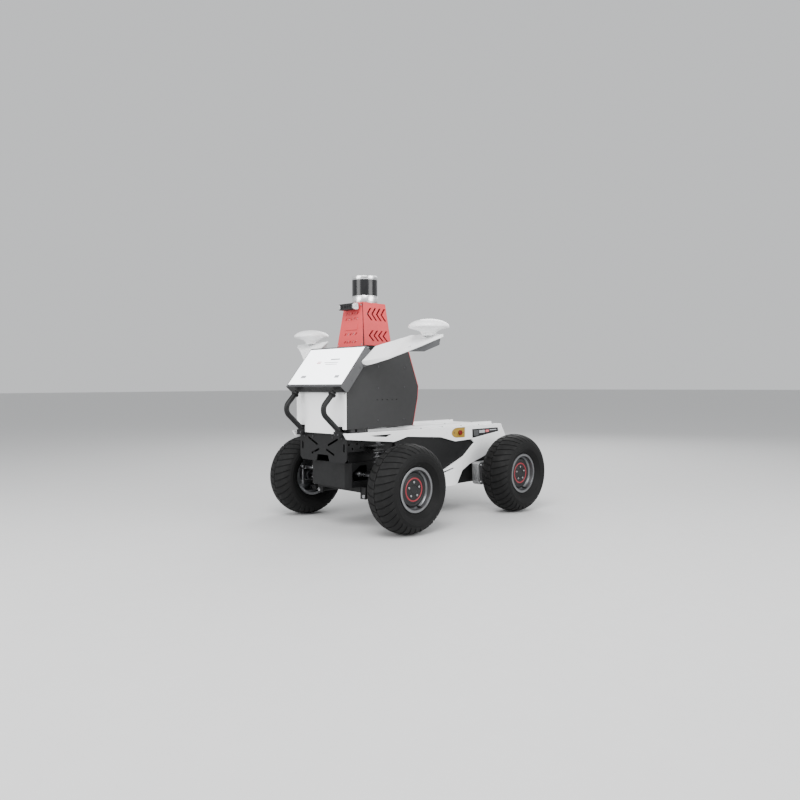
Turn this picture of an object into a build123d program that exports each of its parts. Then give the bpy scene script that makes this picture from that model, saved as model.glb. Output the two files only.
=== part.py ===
"""Four wheel robot chassis: steered, sprung front wheels, geared rear wheels, and a sensor and computer case.

Frame: +X is forward, +Y is the robot's left, +Z is up. The origin is on the ground, midway along the length.
Units are millimetres.
"""

from build123d import *
from math import cos, radians, sin
import os

# Driving dimensions: running gear
FRONT_AXLE_X = 284.0
REAR_AXLE_X = -366.0
HALF_TRACK = 302.5
TYRE_RADIUS = 165.0
TYRE_HALF_WIDTH = 70.0
AXLE_Z = TYRE_RADIUS
RIM_FLANGE_RADIUS = 83.0
BEAD_RADIUS = 76.0
RIM_HALF_WIDTH = 49.0
HUB_RADIUS = 22.0
AXLE_RADIUS = 12.0
RUNNING_GAP = 0.05

# Driving dimensions: front suspension and steering
PIVOT_Y = 135.0
KINGPIN_Y = 236.0
LOWER_ARM_Z = 125.0
UPPER_ARM_Z = 205.0
PIVOT_RADIUS = 6.0
SLEEVE_RADIUS = 10.0
KINGPIN_RADIUS = 8.0
STEER_POST_X = 360.0
STEER_POST_Y = 226.0
TIE_INNER_Y = 125.0
TIE_Z = 210.0
BALL_RADIUS = 8.0
RACK_RADIUS = 7.0
DAMPER_X = 322.0
DAMPER_Y = 188.0
DAMPER_ROD_RADIUS = 8.0
DAMPER_TUBE_RADIUS = 12.0
SPRING_RADIUS = 17.0
SPRING_WIRE_RADIUS = 3.3
SPRING_TURNS = 7
SPRING_LOW_Z = 172.0
SPRING_HIGH_Z = 300.0

# Driving dimensions: body
TUB_HALF_WIDTH = 150.0
TUB_WALL = 3.0
TUB_FRONT_X = 200.0
TUB_REAR_X = -440.0
TUB_BOTTOM_Z = 122.0
DECK_Z = 363.0
DECK_THICKNESS = 3.0
RAIL_TOP_Z = 376.5
RAIL_OUTER_Y = 126.0
RAIL_WIDTH = 21.0
RAIL_FRONT_X = 317.0
RAIL_REAR_X = -437.0
SKIRT_OUTER_Y = 160.0
SKIRT_INNER_Y = 152.0
HOUSING_FRONT_X = 409.0
HOUSING_HALF_WIDTH = 115.0
HOUSING_LOW_Z = 159.0
HOUSING_HIGH_Z = 252.0
FRAME_OUTER_Y = 141.0
BUMPER_FRONT_X = 435.0
GUARD_RADIUS = 10.0
GUARD_Y = 113.0
STOP_X = -177.0
STOP_Z = 339.0
STOP_HOLE_RADIUS = 10.6
BEZEL_FRONT_X = -125.0
BEZEL_REAR_X = -212.0
BEZEL_HALF_HEIGHT = 21.0
BEZEL_OUTER_Y = 157.5
MOTOR_X = -300.0
MOTOR_Z = 165.0

# Driving dimensions: mounts on the rear deck
MOUNT_CENTRE_X = -220.0
MOUNT_SPACING_X = 360.0
MOUNT_HALF_SPACING_Y = 115.5
MOUNT_HOLE_RADIUS = 2.5

# Driving dimensions: case, screen, tower and sensors
CASE_HALF_WIDTH = 150.0
CASE_PANEL = 3.0
CASE_FRONT_X = 445.0
CASE_SCREWS = ((284.5, 612.0), (143.0, 610.0), (285.0, 530.0), (146.0, 534.0), (287.0, 409.0), (148.5, 408.0))
CASE_SCREW_RADIUS = 2.6
CASE_VENT_XS = (291.5, 265.0, 239.0, 213.0, 188.0)
CASE_VENT_Z = 487.0
CASE_VENT_RADIUS = 2.0
CASE_FEET = ((398.0, 420.0, 118.0), (345.0, 388.0, 118.0), (110.0, 150.0, 52.0))
SCREEN_BASE = (476.0, 547.0)
SCREEN_SLOPE = 50.7
SCREEN_HALF_WIDTH = 155.0
SCREEN_LENGTH = 172.0
SCREEN_DEPTH = 40.0
SCREEN_FRAME = 12.0
ANTENNA_X = 218.0
ANTENNA_Y = 350.0
ANTENNA_RADIUS = 76.5
TOWER_TOP_Z = 866.0
TOWER_SLOT_ROWS = (824.0, 803.0, 743.0, 712.0)
TOWER_SLOT_PITCH = 16.0
LIDAR_X = 218.0
LIDAR_RADIUS = 51.0
LIDAR_TOP_Z = 976.0

FROM_BASE = (Align.CENTER, Align.CENTER, Align.MIN)


def box(low, high):
    """A block between two opposite corners."""
    size = [b - a for a, b in zip(low, high)]
    middle = [(a + b) / 2 for a, b in zip(low, high)]
    return Pos(*middle) * Box(*size)


def rod(start, end, radius):
    """A cylinder from one point to another."""
    way = Vector(*end) - Vector(*start)
    return Plane(origin=start, z_dir=way) * Cylinder(radius, way.length, align=FROM_BASE)


def side_prism(outline, low_y, high_y):
    """A closed (x, z) outline drawn out along Y."""
    face = make_face(Polyline(*[(x, low_y, z) for x, z in outline], close=True))
    return extrude(face, high_y - low_y, dir=(0, 1, 0))


def plan_prism(outline, low_z, high_z):
    """A closed (x, y) outline drawn out along Z."""
    face = make_face(Polyline(*[(x, y, low_z) for x, y in outline], close=True))
    return extrude(face, high_z - low_z, dir=(0, 0, 1))


def front_prism(outline, low_x, high_x):
    """A closed (y, z) outline drawn out along X."""
    face = make_face(Polyline(*[(low_x, y, z) for y, z in outline], close=True))
    return extrude(face, high_x - low_x, dir=(1, 0, 0))


def front_slot(start, end, width, low_x, high_x):
    """A straight slot through a plate that faces forward, with round ends, from one (y, z) to another."""
    (y0, z0), (y1, z1) = start, end
    length = ((y1 - y0) ** 2 + (z1 - z0) ** 2) ** 0.5
    across_y, across_z = -(z1 - z0) / length * width / 2, (y1 - y0) / length * width / 2
    corners = [
        (y0 + across_y, z0 + across_z),
        (y1 + across_y, z1 + across_z),
        (y1 - across_y, z1 - across_z),
        (y0 - across_y, z0 - across_z),
    ]
    slot = front_prism(corners, low_x, high_x)
    for y, z in (start, end):
        slot += rod((low_x, y, z), (high_x, y, z), width / 2)
    return slot


def mirrored(shape):
    """The same shape on the robot's right side."""
    return mirror(shape, about=Plane.XZ)


def both(shape):
    """A left-hand piece and its mirror image, as separate solids."""
    return Compound(children=[*shape.solids(), *mirrored(shape).solids()])


def save(shape, name):
    """Writes one named piece, or one group of pieces."""
    export_step(shape, f"parts/{name}.step")


# Wheels


def spun(profile, centre_x, side):
    """A closed (radius, offset) profile spun about a wheel's axle line; offset points away from the robot."""
    centre_y = side * HALF_TRACK
    points = [(centre_x, centre_y + side * offset, AXLE_Z + radius) for radius, offset in profile]
    face = make_face(Polyline(*points, close=True))
    return revolve(face, Axis((centre_x, centre_y, AXLE_Z), (0, 1, 0)), 360)


def tyre(centre_x, side):
    """A hollow balloon tyre: beads on the rim, bulged side walls and a rounded tread."""
    outer = [(BEAD_RADIUS + 0.2, -44.5), (RIM_FLANGE_RADIUS + 0.6, -44.7)]
    inner = []
    for step in range(-9, 10):
        angle = radians(step * 14.0)
        outer.append((121 + 44 * cos(angle), TYRE_HALF_WIDTH * sin(angle)))
        inner.append((119 + 36 * cos(angle), (TYRE_HALF_WIDTH - 8) * sin(angle)))
    outer += [(RIM_FLANGE_RADIUS + 0.6, 44.7), (BEAD_RADIUS + 0.2, 44.5)]
    bead = [(BEAD_RADIUS + 0.2, 36.0), *reversed(inner[1:-1]), (BEAD_RADIUS + 0.2, -36.0)]
    return spun(outer + bead, centre_x, side)


def wheel(centre_x, side):
    """A one-piece rim: two flanges, a drop centre, a dished disc and a hub."""
    rim = [
        (BEAD_RADIUS, -45.0),
        (RIM_FLANGE_RADIUS, -45.0),
        (RIM_FLANGE_RADIUS, -RIM_HALF_WIDTH),
        (72.0, -RIM_HALF_WIDTH),
        (72.0, -32.0),
        (66.0, -28.0),
        (66.0, 18.0),
        (HUB_RADIUS, 18.0),
        (HUB_RADIUS, -30.0),
        (AXLE_RADIUS + RUNNING_GAP, -30.0),
        (AXLE_RADIUS + RUNNING_GAP, 16.0),
        (0.0, 16.0),
        (0.0, 33.0),
        (61.0, 33.0),
        (61.0, 24.0),
        (66.0, 24.0),
        (66.0, 28.0),
        (72.0, 32.0),
        (72.0, RIM_HALF_WIDTH),
        (RIM_FLANGE_RADIUS, RIM_HALF_WIDTH),
        (RIM_FLANGE_RADIUS, 45.0),
        (BEAD_RADIUS, 45.0),
        (BEAD_RADIUS, 32.0),
        (70.0, 28.0),
        (70.0, -28.0),
        (BEAD_RADIUS, -32.0),
    ]
    shape = spun(rim, centre_x, side)
    if centre_x == REAR_AXLE_X:
        shaft_end = side * (HALF_TRACK + 17)
        shape += rod((centre_x, side * 166, AXLE_Z), (centre_x, shaft_end, AXLE_Z), AXLE_RADIUS)
        collar = rod((centre_x, side * 201, AXLE_Z), (centre_x, side * 274, AXLE_Z), HUB_RADIUS - 2)
        shape += collar
    return shape


# Front suspension and steering, all for the left side


def wishbone(pivot_z, low_x, high_x):
    """An A-shaped arm: a sleeve on the frame's pivot pin, two legs and a sleeve on the upright's pin."""
    sleeve = rod((low_x, PIVOT_Y, pivot_z), (high_x, PIVOT_Y, pivot_z), SLEEVE_RADIUS)
    tip_low, tip_high = FRONT_AXLE_X - 12, FRONT_AXLE_X + 12
    tip = rod((tip_low, KINGPIN_Y, pivot_z), (tip_high, KINGPIN_Y, pivot_z), SLEEVE_RADIUS)
    arm = sleeve + tip
    for start_x, tip_x in ((low_x + 8, tip_low + 6), (high_x - 8, tip_high - 6)):
        leg = [
            (start_x - 8, PIVOT_Y + 4),
            (start_x + 8, PIVOT_Y + 4),
            (tip_x + 6, KINGPIN_Y - 15),
            (tip_x - 6, KINGPIN_Y - 15),
        ]
        arm += plan_prism(leg, pivot_z - 6, pivot_z + 6)
    return arm + box((tip_low, KINGPIN_Y - 17, pivot_z - 6), (tip_high, KINGPIN_Y - 5, pivot_z + 6))


def pin_bores(arm, pivot_z, low_x, high_x):
    """Bores both sleeves of an arm for their pins, with a running gap."""
    bore = PIVOT_RADIUS + RUNNING_GAP
    arm -= rod((low_x - 1, PIVOT_Y, pivot_z), (high_x + 1, PIVOT_Y, pivot_z), bore)
    tip_low, tip_high = FRONT_AXLE_X - 13, FRONT_AXLE_X + 13
    return arm - rod((tip_low, KINGPIN_Y, pivot_z), (tip_high, KINGPIN_Y, pivot_z), bore)


def lower_arm():
    """The lower wishbone, with a pad that carries the damper's foot."""
    low_x, high_x = FRONT_AXLE_X - 53, FRONT_AXLE_X + 53
    arm = wishbone(LOWER_ARM_Z, low_x, high_x)
    pad_low = (DAMPER_X - 16, DAMPER_Y - 14, LOWER_ARM_Z - 6)
    arm += box(pad_low, (DAMPER_X + 12, DAMPER_Y + 14, LOWER_ARM_Z + 9))
    return pin_bores(arm, LOWER_ARM_Z, low_x, high_x)


def upper_arm():
    """The upper wishbone, set back so that the damper stands in front of it."""
    low_x, high_x = 222.0, 294.0
    return pin_bores(wishbone(UPPER_ARM_Z, low_x, high_x), UPPER_ARM_Z, low_x, high_x)


def carrier():
    """The upright: a fork for each arm, and the kingpin between them."""
    shape = rod((FRONT_AXLE_X, KINGPIN_Y, 136.5), (FRONT_AXLE_X, KINGPIN_Y, 193.5), KINGPIN_RADIUS)
    for pivot_z, inside in ((LOWER_ARM_Z, 1), (UPPER_ARM_Z, -1)):
        low_z, high_z = sorted((pivot_z - inside * 10, pivot_z + inside * 12))
        for side in (-1, 1):
            cheek_low, cheek_high = sorted((FRONT_AXLE_X + side * 12.6, FRONT_AXLE_X + side * 20))
            shape += box((cheek_low, KINGPIN_Y - 10, low_z), (cheek_high, KINGPIN_Y + 10, high_z))
        bridge_z = pivot_z + inside * 10.8
        low_z, high_z = sorted((bridge_z, bridge_z + inside * 2))
        shape += box(
            (FRONT_AXLE_X - 20, KINGPIN_Y - 10, low_z), (FRONT_AXLE_X + 20, KINGPIN_Y + 10, high_z)
        )
        start = (FRONT_AXLE_X - 20, KINGPIN_Y, pivot_z)
        shape += rod(start, (FRONT_AXLE_X + 20, KINGPIN_Y, pivot_z), PIVOT_RADIUS)
    return shape


def knuckle():
    """The steering knuckle: a kingpin sleeve, the wheel spindle, and the steering arm with its post."""
    low_z, high_z = 139.0, 191.0
    shape = rod((FRONT_AXLE_X, KINGPIN_Y, low_z), (FRONT_AXLE_X, KINGPIN_Y, high_z), 15.0)
    spindle_end = HALF_TRACK + 14
    shape += rod((FRONT_AXLE_X, KINGPIN_Y, AXLE_Z), (FRONT_AXLE_X, 270, AXLE_Z), 17.0)
    shape += rod((FRONT_AXLE_X, KINGPIN_Y, AXLE_Z), (FRONT_AXLE_X, spindle_end, AXLE_Z), AXLE_RADIUS)
    arm = [
        (FRONT_AXLE_X, KINGPIN_Y - 9),
        (STEER_POST_X, STEER_POST_Y - 7),
        (STEER_POST_X, STEER_POST_Y + 7),
        (FRONT_AXLE_X, KINGPIN_Y + 9),
    ]
    shape += plan_prism(arm, low_z, low_z + 11)
    post_top = TIE_Z - BALL_RADIUS - 2
    shape += rod((STEER_POST_X, STEER_POST_Y, low_z), (STEER_POST_X, STEER_POST_Y, low_z + 15), 9.0)
    shape += rod((STEER_POST_X, STEER_POST_Y, low_z), (STEER_POST_X, STEER_POST_Y, post_top), 5.5)
    bore = KINGPIN_RADIUS + RUNNING_GAP
    bore_low, bore_high = (FRONT_AXLE_X, KINGPIN_Y, low_z - 1), (FRONT_AXLE_X, KINGPIN_Y, high_z + 1)
    return shape - rod(bore_low, bore_high, bore)


def tie_rod():
    """A steering link with a ball at its inner end and a round rod end over the knuckle's post."""
    inner = (STEER_POST_X, TIE_INNER_Y, TIE_Z)
    outer = (STEER_POST_X, STEER_POST_Y, TIE_Z)
    shape = Pos(*inner) * Sphere(BALL_RADIUS) + Pos(*outer) * Sphere(BALL_RADIUS + 1)
    shape += rod(inner, outer, 4.5)
    return shape + rod((STEER_POST_X, 160, TIE_Z), (STEER_POST_X, 200, TIE_Z), 6.5)


def steering_rack():
    """The sliding steering bar, with a ball cup at each end."""
    bar_end = TIE_INNER_Y - BALL_RADIUS - 1
    shape = rod((STEER_POST_X, -bar_end, TIE_Z), (STEER_POST_X, bar_end, TIE_Z), RACK_RADIUS)
    for side in (-1, 1):
        centre = (STEER_POST_X, side * TIE_INNER_Y, TIE_Z)
        cup = Pos(*centre) * Sphere(BALL_RADIUS + 2.5) - Pos(*centre) * Sphere(BALL_RADIUS + 0.1)
        mouth = (STEER_POST_X, side * (TIE_INNER_Y + 4), TIE_Z)
        shape += cup - rod(mouth, (STEER_POST_X, side * (TIE_INNER_Y + 20), TIE_Z), BALL_RADIUS + 4)
    return shape


def damper_rod():
    """The damper's sliding rod, with its foot and the spring's lower seat."""
    foot_z = LOWER_ARM_Z + 9 + 1 + BALL_RADIUS
    shape = Pos(DAMPER_X, DAMPER_Y, foot_z) * Sphere(BALL_RADIUS)
    shape += rod((DAMPER_X, DAMPER_Y, foot_z), (DAMPER_X, DAMPER_Y, 250), DAMPER_ROD_RADIUS - 2)
    shape += rod((DAMPER_X, DAMPER_Y, 200), (DAMPER_X, DAMPER_Y, 250), DAMPER_ROD_RADIUS)
    seat_low, seat_high = (DAMPER_X, DAMPER_Y, SPRING_LOW_Z - 5), (DAMPER_X, DAMPER_Y, SPRING_LOW_Z)
    return shape + rod(seat_low, seat_high, SPRING_RADIUS + 4)


def damper_tube():
    """The damper's fixed tube, with the spring's upper seat."""
    shape = rod((DAMPER_X, DAMPER_Y, 192), (DAMPER_X, DAMPER_Y, 313.8), DAMPER_TUBE_RADIUS)
    seat_low, seat_high = (DAMPER_X, DAMPER_Y, SPRING_HIGH_Z), (DAMPER_X, DAMPER_Y, SPRING_HIGH_Z + 5)
    shape += rod(seat_low, seat_high, SPRING_RADIUS + 4)
    bore = DAMPER_ROD_RADIUS + RUNNING_GAP
    return shape - rod((DAMPER_X, DAMPER_Y, 191), (DAMPER_X, DAMPER_Y, 280), bore)


def coil_spring():
    """The spring between the damper's two seats."""
    low = SPRING_LOW_Z + SPRING_WIRE_RADIUS + 0.3
    high = SPRING_HIGH_Z - SPRING_WIRE_RADIUS - 0.3
    height = high - low
    path = Helix(pitch=height / SPRING_TURNS, height=height, radius=SPRING_RADIUS)
    path = Pos(DAMPER_X, DAMPER_Y, low) * path
    section = Plane(origin=path @ 0, z_dir=path % 0) * Circle(SPRING_WIRE_RADIUS)
    return sweep(section, path=path, is_frenet=True)


def steering_actuator():
    """The electric actuator that drives the steering bar, which slides through it."""
    shape = rod((STEER_POST_X, -52, TIE_Z), (STEER_POST_X, 52, TIE_Z), 27.0)
    shape += box((STEER_POST_X - 30, -30, TIE_Z - 30), (STEER_POST_X - 8, 30, TIE_Z + 30))
    shape += box((230, -34, TIE_Z - 24), (STEER_POST_X - 30, 34, TIE_Z + 24))
    start, end = (STEER_POST_X, -53, TIE_Z), (STEER_POST_X, 53, TIE_Z)
    return shape - rod(start, end, RACK_RADIUS + RUNNING_GAP)


# Front structure


def pivot_lugs(pivot_z, low_x, high_x, wall_y, top_z):
    """Two lugs and the pin between them that carry one arm on the left side."""
    pin = rod((low_x - 10, PIVOT_Y, pivot_z), (high_x + 10, PIVOT_Y, pivot_z), PIVOT_RADIUS)
    for lug_low in (low_x - 10, high_x + 1):
        pin += box((lug_low, wall_y, pivot_z - 11), (lug_low + 9, PIVOT_Y + 9, top_z))
    return pin


def axle_frame():
    """The lower front frame: a shallow tray under the steering housing, with the lower arms' pivots."""
    low_x, high_x, half, low_z, high_z = 203.0, 350.0, 118.0, 138.0, 158.8
    tray = box((low_x, -half, low_z), (high_x, half, high_z))
    tray -= box((low_x + 4, -half + 4, low_z + 4), (high_x - 4, half - 4, high_z + 1))
    lugs = pivot_lugs(LOWER_ARM_Z, FRONT_AXLE_X - 53, FRONT_AXLE_X + 53, half - 4, high_z)
    return tray + lugs + mirrored(lugs)


def front_housing():
    """The steering housing: an open-backed box with chamfered front corners and two side windows."""
    wide, narrow = HOUSING_HALF_WIDTH, 97.0
    outline = [
        (203, -wide),
        (388, -wide),
        (HOUSING_FRONT_X, -narrow),
        (HOUSING_FRONT_X, narrow),
        (388, wide),
        (203, wide),
    ]
    inner = [
        (200, -wide + 3),
        (387, -wide + 3),
        (HOUSING_FRONT_X - 3, -narrow + 2),
        (HOUSING_FRONT_X - 3, narrow - 2),
        (387, wide - 3),
        (200, wide - 3),
    ]
    shape = plan_prism(outline, HOUSING_LOW_Z, HOUSING_HIGH_Z)
    shape -= plan_prism(inner, HOUSING_LOW_Z + 3, HOUSING_HIGH_Z - 3)
    window = [(385, 196), (385, 214), (345, 240), (315, 240), (309, 183), (380, 183)]
    shape -= side_prism(window, -wide - 1, wide + 1)
    lugs = pivot_lugs(UPPER_ARM_Z, 222.0, 294.0, wide, UPPER_ARM_Z + 11)
    return shape + lugs + mirrored(lugs)


def front_frame():
    """The upper front frame: side rails behind the bumper, a cross plate, hangers and damper towers."""
    rail = [(203, 290), (330, 290), (352, 296), (430, 296), (430, 358), (203, 358)]
    half = side_prism(rail, FRAME_OUTER_Y - 4, FRAME_OUTER_Y)
    for x, z in ((424, 324), (385, 325), (407, 308), (366, 310), (328, 306)):
        half -= rod((x, FRAME_OUTER_Y - 5, z), (x, FRAME_OUTER_Y + 1, z), 4.0)
    tower = [(292, FRAME_OUTER_Y - 1), (352, FRAME_OUTER_Y - 1), (342, 207), (302, 207)]
    half += plan_prism(tower, 314, 320)
    half += box((296, FRAME_OUTER_Y - 1, 298), (300, 178, 315))
    half += box((225, 100, HOUSING_HIGH_Z), (395, 104, 297))
    plate = box((203, -FRAME_OUTER_Y + 1, 296), (425, FRAME_OUTER_Y - 1, 300))
    return plate + half + mirrored(half)


def bumper_plate():
    """The front plate: four slanted slots in a cross, two upright slots and a bottom notch."""
    low_x = BUMPER_FRONT_X - 4.8
    outline = [
        (-141, 358),
        (-141, 268),
        (-126, 255),
        (-40, 255),
        (-31, 280),
        (31, 280),
        (40, 255),
        (126, 255),
        (141, 268),
        (141, 358),
    ]
    shape = front_prism(outline, low_x, BUMPER_FRONT_X)
    for side in (-1, 1):
        for start, end in (((86, 341), (34, 318)), ((66, 283), (24, 300))):
            ends = (side * start[0], start[1]), (side * end[0], end[1])
            shape -= front_slot(*ends, 8.0, low_x - 1, BUMPER_FRONT_X + 1)
        upright = (side * 125, 300), (side * 125, 322)
        shape -= front_slot(*upright, 9.0, low_x - 1, BUMPER_FRONT_X + 1)
    return shape


def guard_tube():
    """One bent guard tube, from a foot at the front of the deck to the underside of the screen."""
    route = FilletPolyline(
        (448, GUARD_Y, 374),
        (533.8, GUARD_Y, 452),
        (471, GUARD_Y, 518),
        radius=34,
    )
    section = Plane(origin=route @ 0, z_dir=route % 0) * Circle(GUARD_RADIUS)
    tube = sweep(section, path=route)
    foot = box((441.5, GUARD_Y - 16, 352), (461, GUARD_Y + 16, 372))
    return tube + foot + Pos(452, GUARD_Y, 376) * Sphere(12)


# Body


def chassis_tub():
    """The folded sheet-metal body: floor, side walls and front wall, open at the top and the rear."""
    outline = [
        (TUB_FRONT_X, TUB_BOTTOM_Z),
        (-330, TUB_BOTTOM_Z),
        (TUB_REAR_X, 200),
        (TUB_REAR_X, DECK_Z),
        (TUB_FRONT_X, DECK_Z),
    ]
    inner = [
        (TUB_FRONT_X - TUB_WALL, TUB_BOTTOM_Z + TUB_WALL),
        (-329, TUB_BOTTOM_Z + TUB_WALL),
        (TUB_REAR_X - 1, 204),
        (TUB_REAR_X - 1, DECK_Z + 1),
        (TUB_FRONT_X - TUB_WALL, DECK_Z + 1),
    ]
    half_inside = TUB_HALF_WIDTH - TUB_WALL
    shape = side_prism(outline, -TUB_HALF_WIDTH, TUB_HALF_WIDTH)
    return shape - side_prism(inner, -half_inside, half_inside)


def rear_panel():
    """The cover over the tub's rear, with openings for the charge socket and the power switch."""
    shape = box((TUB_REAR_X - 3.2, -TUB_HALF_WIDTH, 200), (TUB_REAR_X - 0.2, TUB_HALF_WIDTH, DECK_Z - 0.2))
    shape -= box((TUB_REAR_X - 4, 45, 276), (TUB_REAR_X, 65, 304))
    socket = rod((TUB_REAR_X - 9, -55, 290), (TUB_REAR_X - 1, -55, 290), 17.0)
    socket -= rod((TUB_REAR_X - 10, -55, 290), (TUB_REAR_X - 3, -55, 290), 12.0)
    return shape + socket


def power_switch():
    """A rocker on the rear panel, drawn as a rounded bar that tips about its middle."""
    x = TUB_REAR_X - 2.0
    shape = rod((x, 46, 290), (x, 64, 290), 5.0)
    shape += box((x - 5, 46, 280), (x - 1, 64, 300))
    return shape


def deck_plate():
    """The flat top plate of the body, notched at the front for the guard tubes' feet."""
    outline = [(-460, -151.6), (433, -151.6), (440, -140), (440, 140), (433, 151.6), (-460, 151.6)]
    return plan_prism(outline, DECK_Z, DECK_Z + DECK_THICKNESS)


def deck_rail():
    """The left mounting rail, with two threaded holes in its top face."""
    low_y = RAIL_OUTER_Y - RAIL_WIDTH
    shape = box(
        (RAIL_REAR_X, low_y, DECK_Z + DECK_THICKNESS), (RAIL_FRONT_X, RAIL_OUTER_Y, RAIL_TOP_Z)
    )
    shape = chamfer(shape.edges().filter_by(Axis.X).group_by(Axis.Z)[-1], 1.2)
    for x in (MOUNT_CENTRE_X - MOUNT_SPACING_X / 2, MOUNT_CENTRE_X + MOUNT_SPACING_X / 2):
        low = (x, MOUNT_HALF_SPACING_Y, DECK_Z + DECK_THICKNESS - 1)
        shape -= rod(low, (x, MOUNT_HALF_SPACING_Y, RAIL_TOP_Z + 1), MOUNT_HOLE_RADIUS)
    return shape


def skirt_outline():
    """The side skirt's outline: a thin prow, a leg that reaches forward and down, and a swept tail."""
    return [
        (462, 366),
        (447, 345),
        (338, 334),
        (213, 323),
        (181, 329),
        (139, 339),
        (-57, 326),
        (-149.5, 303),
        (-253, 307),
        (-274, 290.5),
        (-202, 237),
        (-64, 185),
        (-79, 118.5),
        (-155, 118.5),
        (-193, 177),
        (-239, 199),
        (-328, 223.5),
        (-400, 246),
        (-476, 288),
        (-497, 311),
        (-463, 366),
    ]


def side_skirt():
    """The left skirt, with its wedge slot, its leg notch, and the opening for the stop button's bezel."""
    shape = side_prism(skirt_outline(), SKIRT_INNER_Y, SKIRT_OUTER_Y)
    wedge = [(330, 353), (312, 349), (250, 344), (224, 354)]
    shape -= side_prism(wedge, SKIRT_INNER_Y - 1, SKIRT_OUTER_Y + 1)
    notch = [(-60, 172), (-138, 190), (-134, 194), (-60, 180)]
    shape -= side_prism(notch, SKIRT_INNER_Y - 1, SKIRT_OUTER_Y + 1)
    return shape - side_prism(bezel_outline(0.4), SKIRT_INNER_Y - 1, SKIRT_OUTER_Y + 1)


def bezel_outline(margin):
    """The stop bezel's D shape: upright at the rear and half an ellipse at the front."""
    tall = BEZEL_HALF_HEIGHT + margin
    centre_x = BEZEL_FRONT_X - 38.0
    outline = [(BEZEL_REAR_X - margin, STOP_Z + tall), (BEZEL_REAR_X - margin, STOP_Z - tall)]
    for step in range(-6, 7):
        angle = radians(step * 15.0)
        along = (BEZEL_FRONT_X - centre_x + margin) * cos(angle)
        outline.append((centre_x + along, STOP_Z + tall * sin(angle)))
    return outline


def stop_bezel():
    """The yellow plate behind the skirt's opening, with the hole for a stop button."""
    shape = side_prism(bezel_outline(0.0), TUB_HALF_WIDTH + 0.05, BEZEL_OUTER_Y)
    return shape - rod((STOP_X, TUB_HALF_WIDTH, STOP_Z), (STOP_X, 160, STOP_Z), STOP_HOLE_RADIUS)


def stop_button(side):
    """A stop button, which is pushed towards the body."""
    middle = side * (BEZEL_OUTER_Y - 0.5)
    shape = rod((STOP_X, side * 154.5, STOP_Z), (STOP_X, middle, STOP_Z), STOP_HOLE_RADIUS - 4)
    return shape + rod((STOP_X, middle, STOP_Z), (STOP_X, side * 166, STOP_Z), STOP_HOLE_RADIUS - 0.6)


def drive_motor():
    """The left rear wheel's gear motor, inside the tub."""
    shape = rod((MOTOR_X, 24, MOTOR_Z), (MOTOR_X, 128, MOTOR_Z), 37.0)
    return shape + rod((MOTOR_X, 128, MOTOR_Z), (MOTOR_X, 146.8, MOTOR_Z), 30.0)


def gearbox():
    """The left gear case: a cast body from the motor's axis back to the rear wheel's shaft."""
    low_y, high_y = SKIRT_OUTER_Y + 1.5, 200.0
    outline = [
        (-258, 120),
        (-254, 200),
        (-264, 208),
        (-318, 208),
        (-366, 209),
        (-366, 121),
        (-320, 112),
        (-268, 112),
    ]
    shape = side_prism(outline, low_y, high_y)
    shape += rod((REAR_AXLE_X, low_y, AXLE_Z), (REAR_AXLE_X, high_y, AXLE_Z), 44.0)
    shape += rod((MOTOR_X, TUB_HALF_WIDTH, MOTOR_Z), (MOTOR_X, low_y, MOTOR_Z), 24.0)
    start, end = (REAR_AXLE_X, low_y - 1, AXLE_Z), (REAR_AXLE_X, high_y + 1, AXLE_Z)
    return shape - rod(start, end, AXLE_RADIUS + RUNNING_GAP)


def battery_pack():
    """The battery, on the tub's floor."""
    return box((-190, -110, TUB_BOTTOM_Z + TUB_WALL), (110, 110, 245))


def motor_controller():
    """The motor controller, on the front part of the tub's floor."""
    return box((125, -120, TUB_BOTTOM_Z + TUB_WALL), (190, 120, 180))


# Case, screen, wings and sensors


def slab_point(along, out):
    """A point (x, z) in the screen's own directions: along its slope from its lower edge, and out of it."""
    slope = radians(SCREEN_SLOPE)
    x = SCREEN_BASE[0] - along * cos(slope) + out * sin(slope)
    z = SCREEN_BASE[1] + along * sin(slope) + out * cos(slope)
    return x, z


def case_outline():
    """The case's side outline, from the lower front corner round to the lower rear corner."""
    return [
        (441.8, 381),
        (441.8, 519),
        slab_point(-14, -SCREEN_DEPTH - 1.5),
        slab_point(196, -SCREEN_DEPTH - 1.5),
        (122.5, 673),
        (69, 537),
        (73.5, 490),
        (100, 381),
    ]


def case_side():
    """The left side panel of the case, with its screw holes and a row of five vent holes."""
    shape = side_prism(case_outline(), CASE_HALF_WIDTH - CASE_PANEL, CASE_HALF_WIDTH)
    holes = [(x, z, CASE_SCREW_RADIUS) for x, z in CASE_SCREWS]
    holes += [(x, CASE_VENT_Z, CASE_VENT_RADIUS) for x in CASE_VENT_XS]
    for x, z, radius in holes:
        shape -= rod((x, CASE_HALF_WIDTH - CASE_PANEL - 1, z), (x, CASE_HALF_WIDTH + 1, z), radius)
    return shape


def case_shell():
    """The folded inner cover, open to the front, with the feet that carry the case on the deck."""
    half = CASE_HALF_WIDTH - CASE_PANEL - 0.2
    outer = [(440, 382), (440, 519), slab_point(8, -44), slab_point(190, -44)]
    outer += [(125, 670), (72, 537), (76.5, 490), (102.5, 382)]
    inner = [(441, 385), (441, 519), slab_point(8, -43.4), slab_point(185, -43.4)]
    inner += [(127, 667), (75.2, 537), (79.6, 490.5), (105, 385)]
    shape = side_prism(outer, -half, half) - side_prism(inner, -half - 1, half + 1)
    for low_x, high_x, low_y in CASE_FEET:
        foot = box((low_x, low_y, DECK_Z + DECK_THICKNESS), (high_x, low_y + 28, 382))
        shape += foot + mirrored(foot)
    return shape


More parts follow.
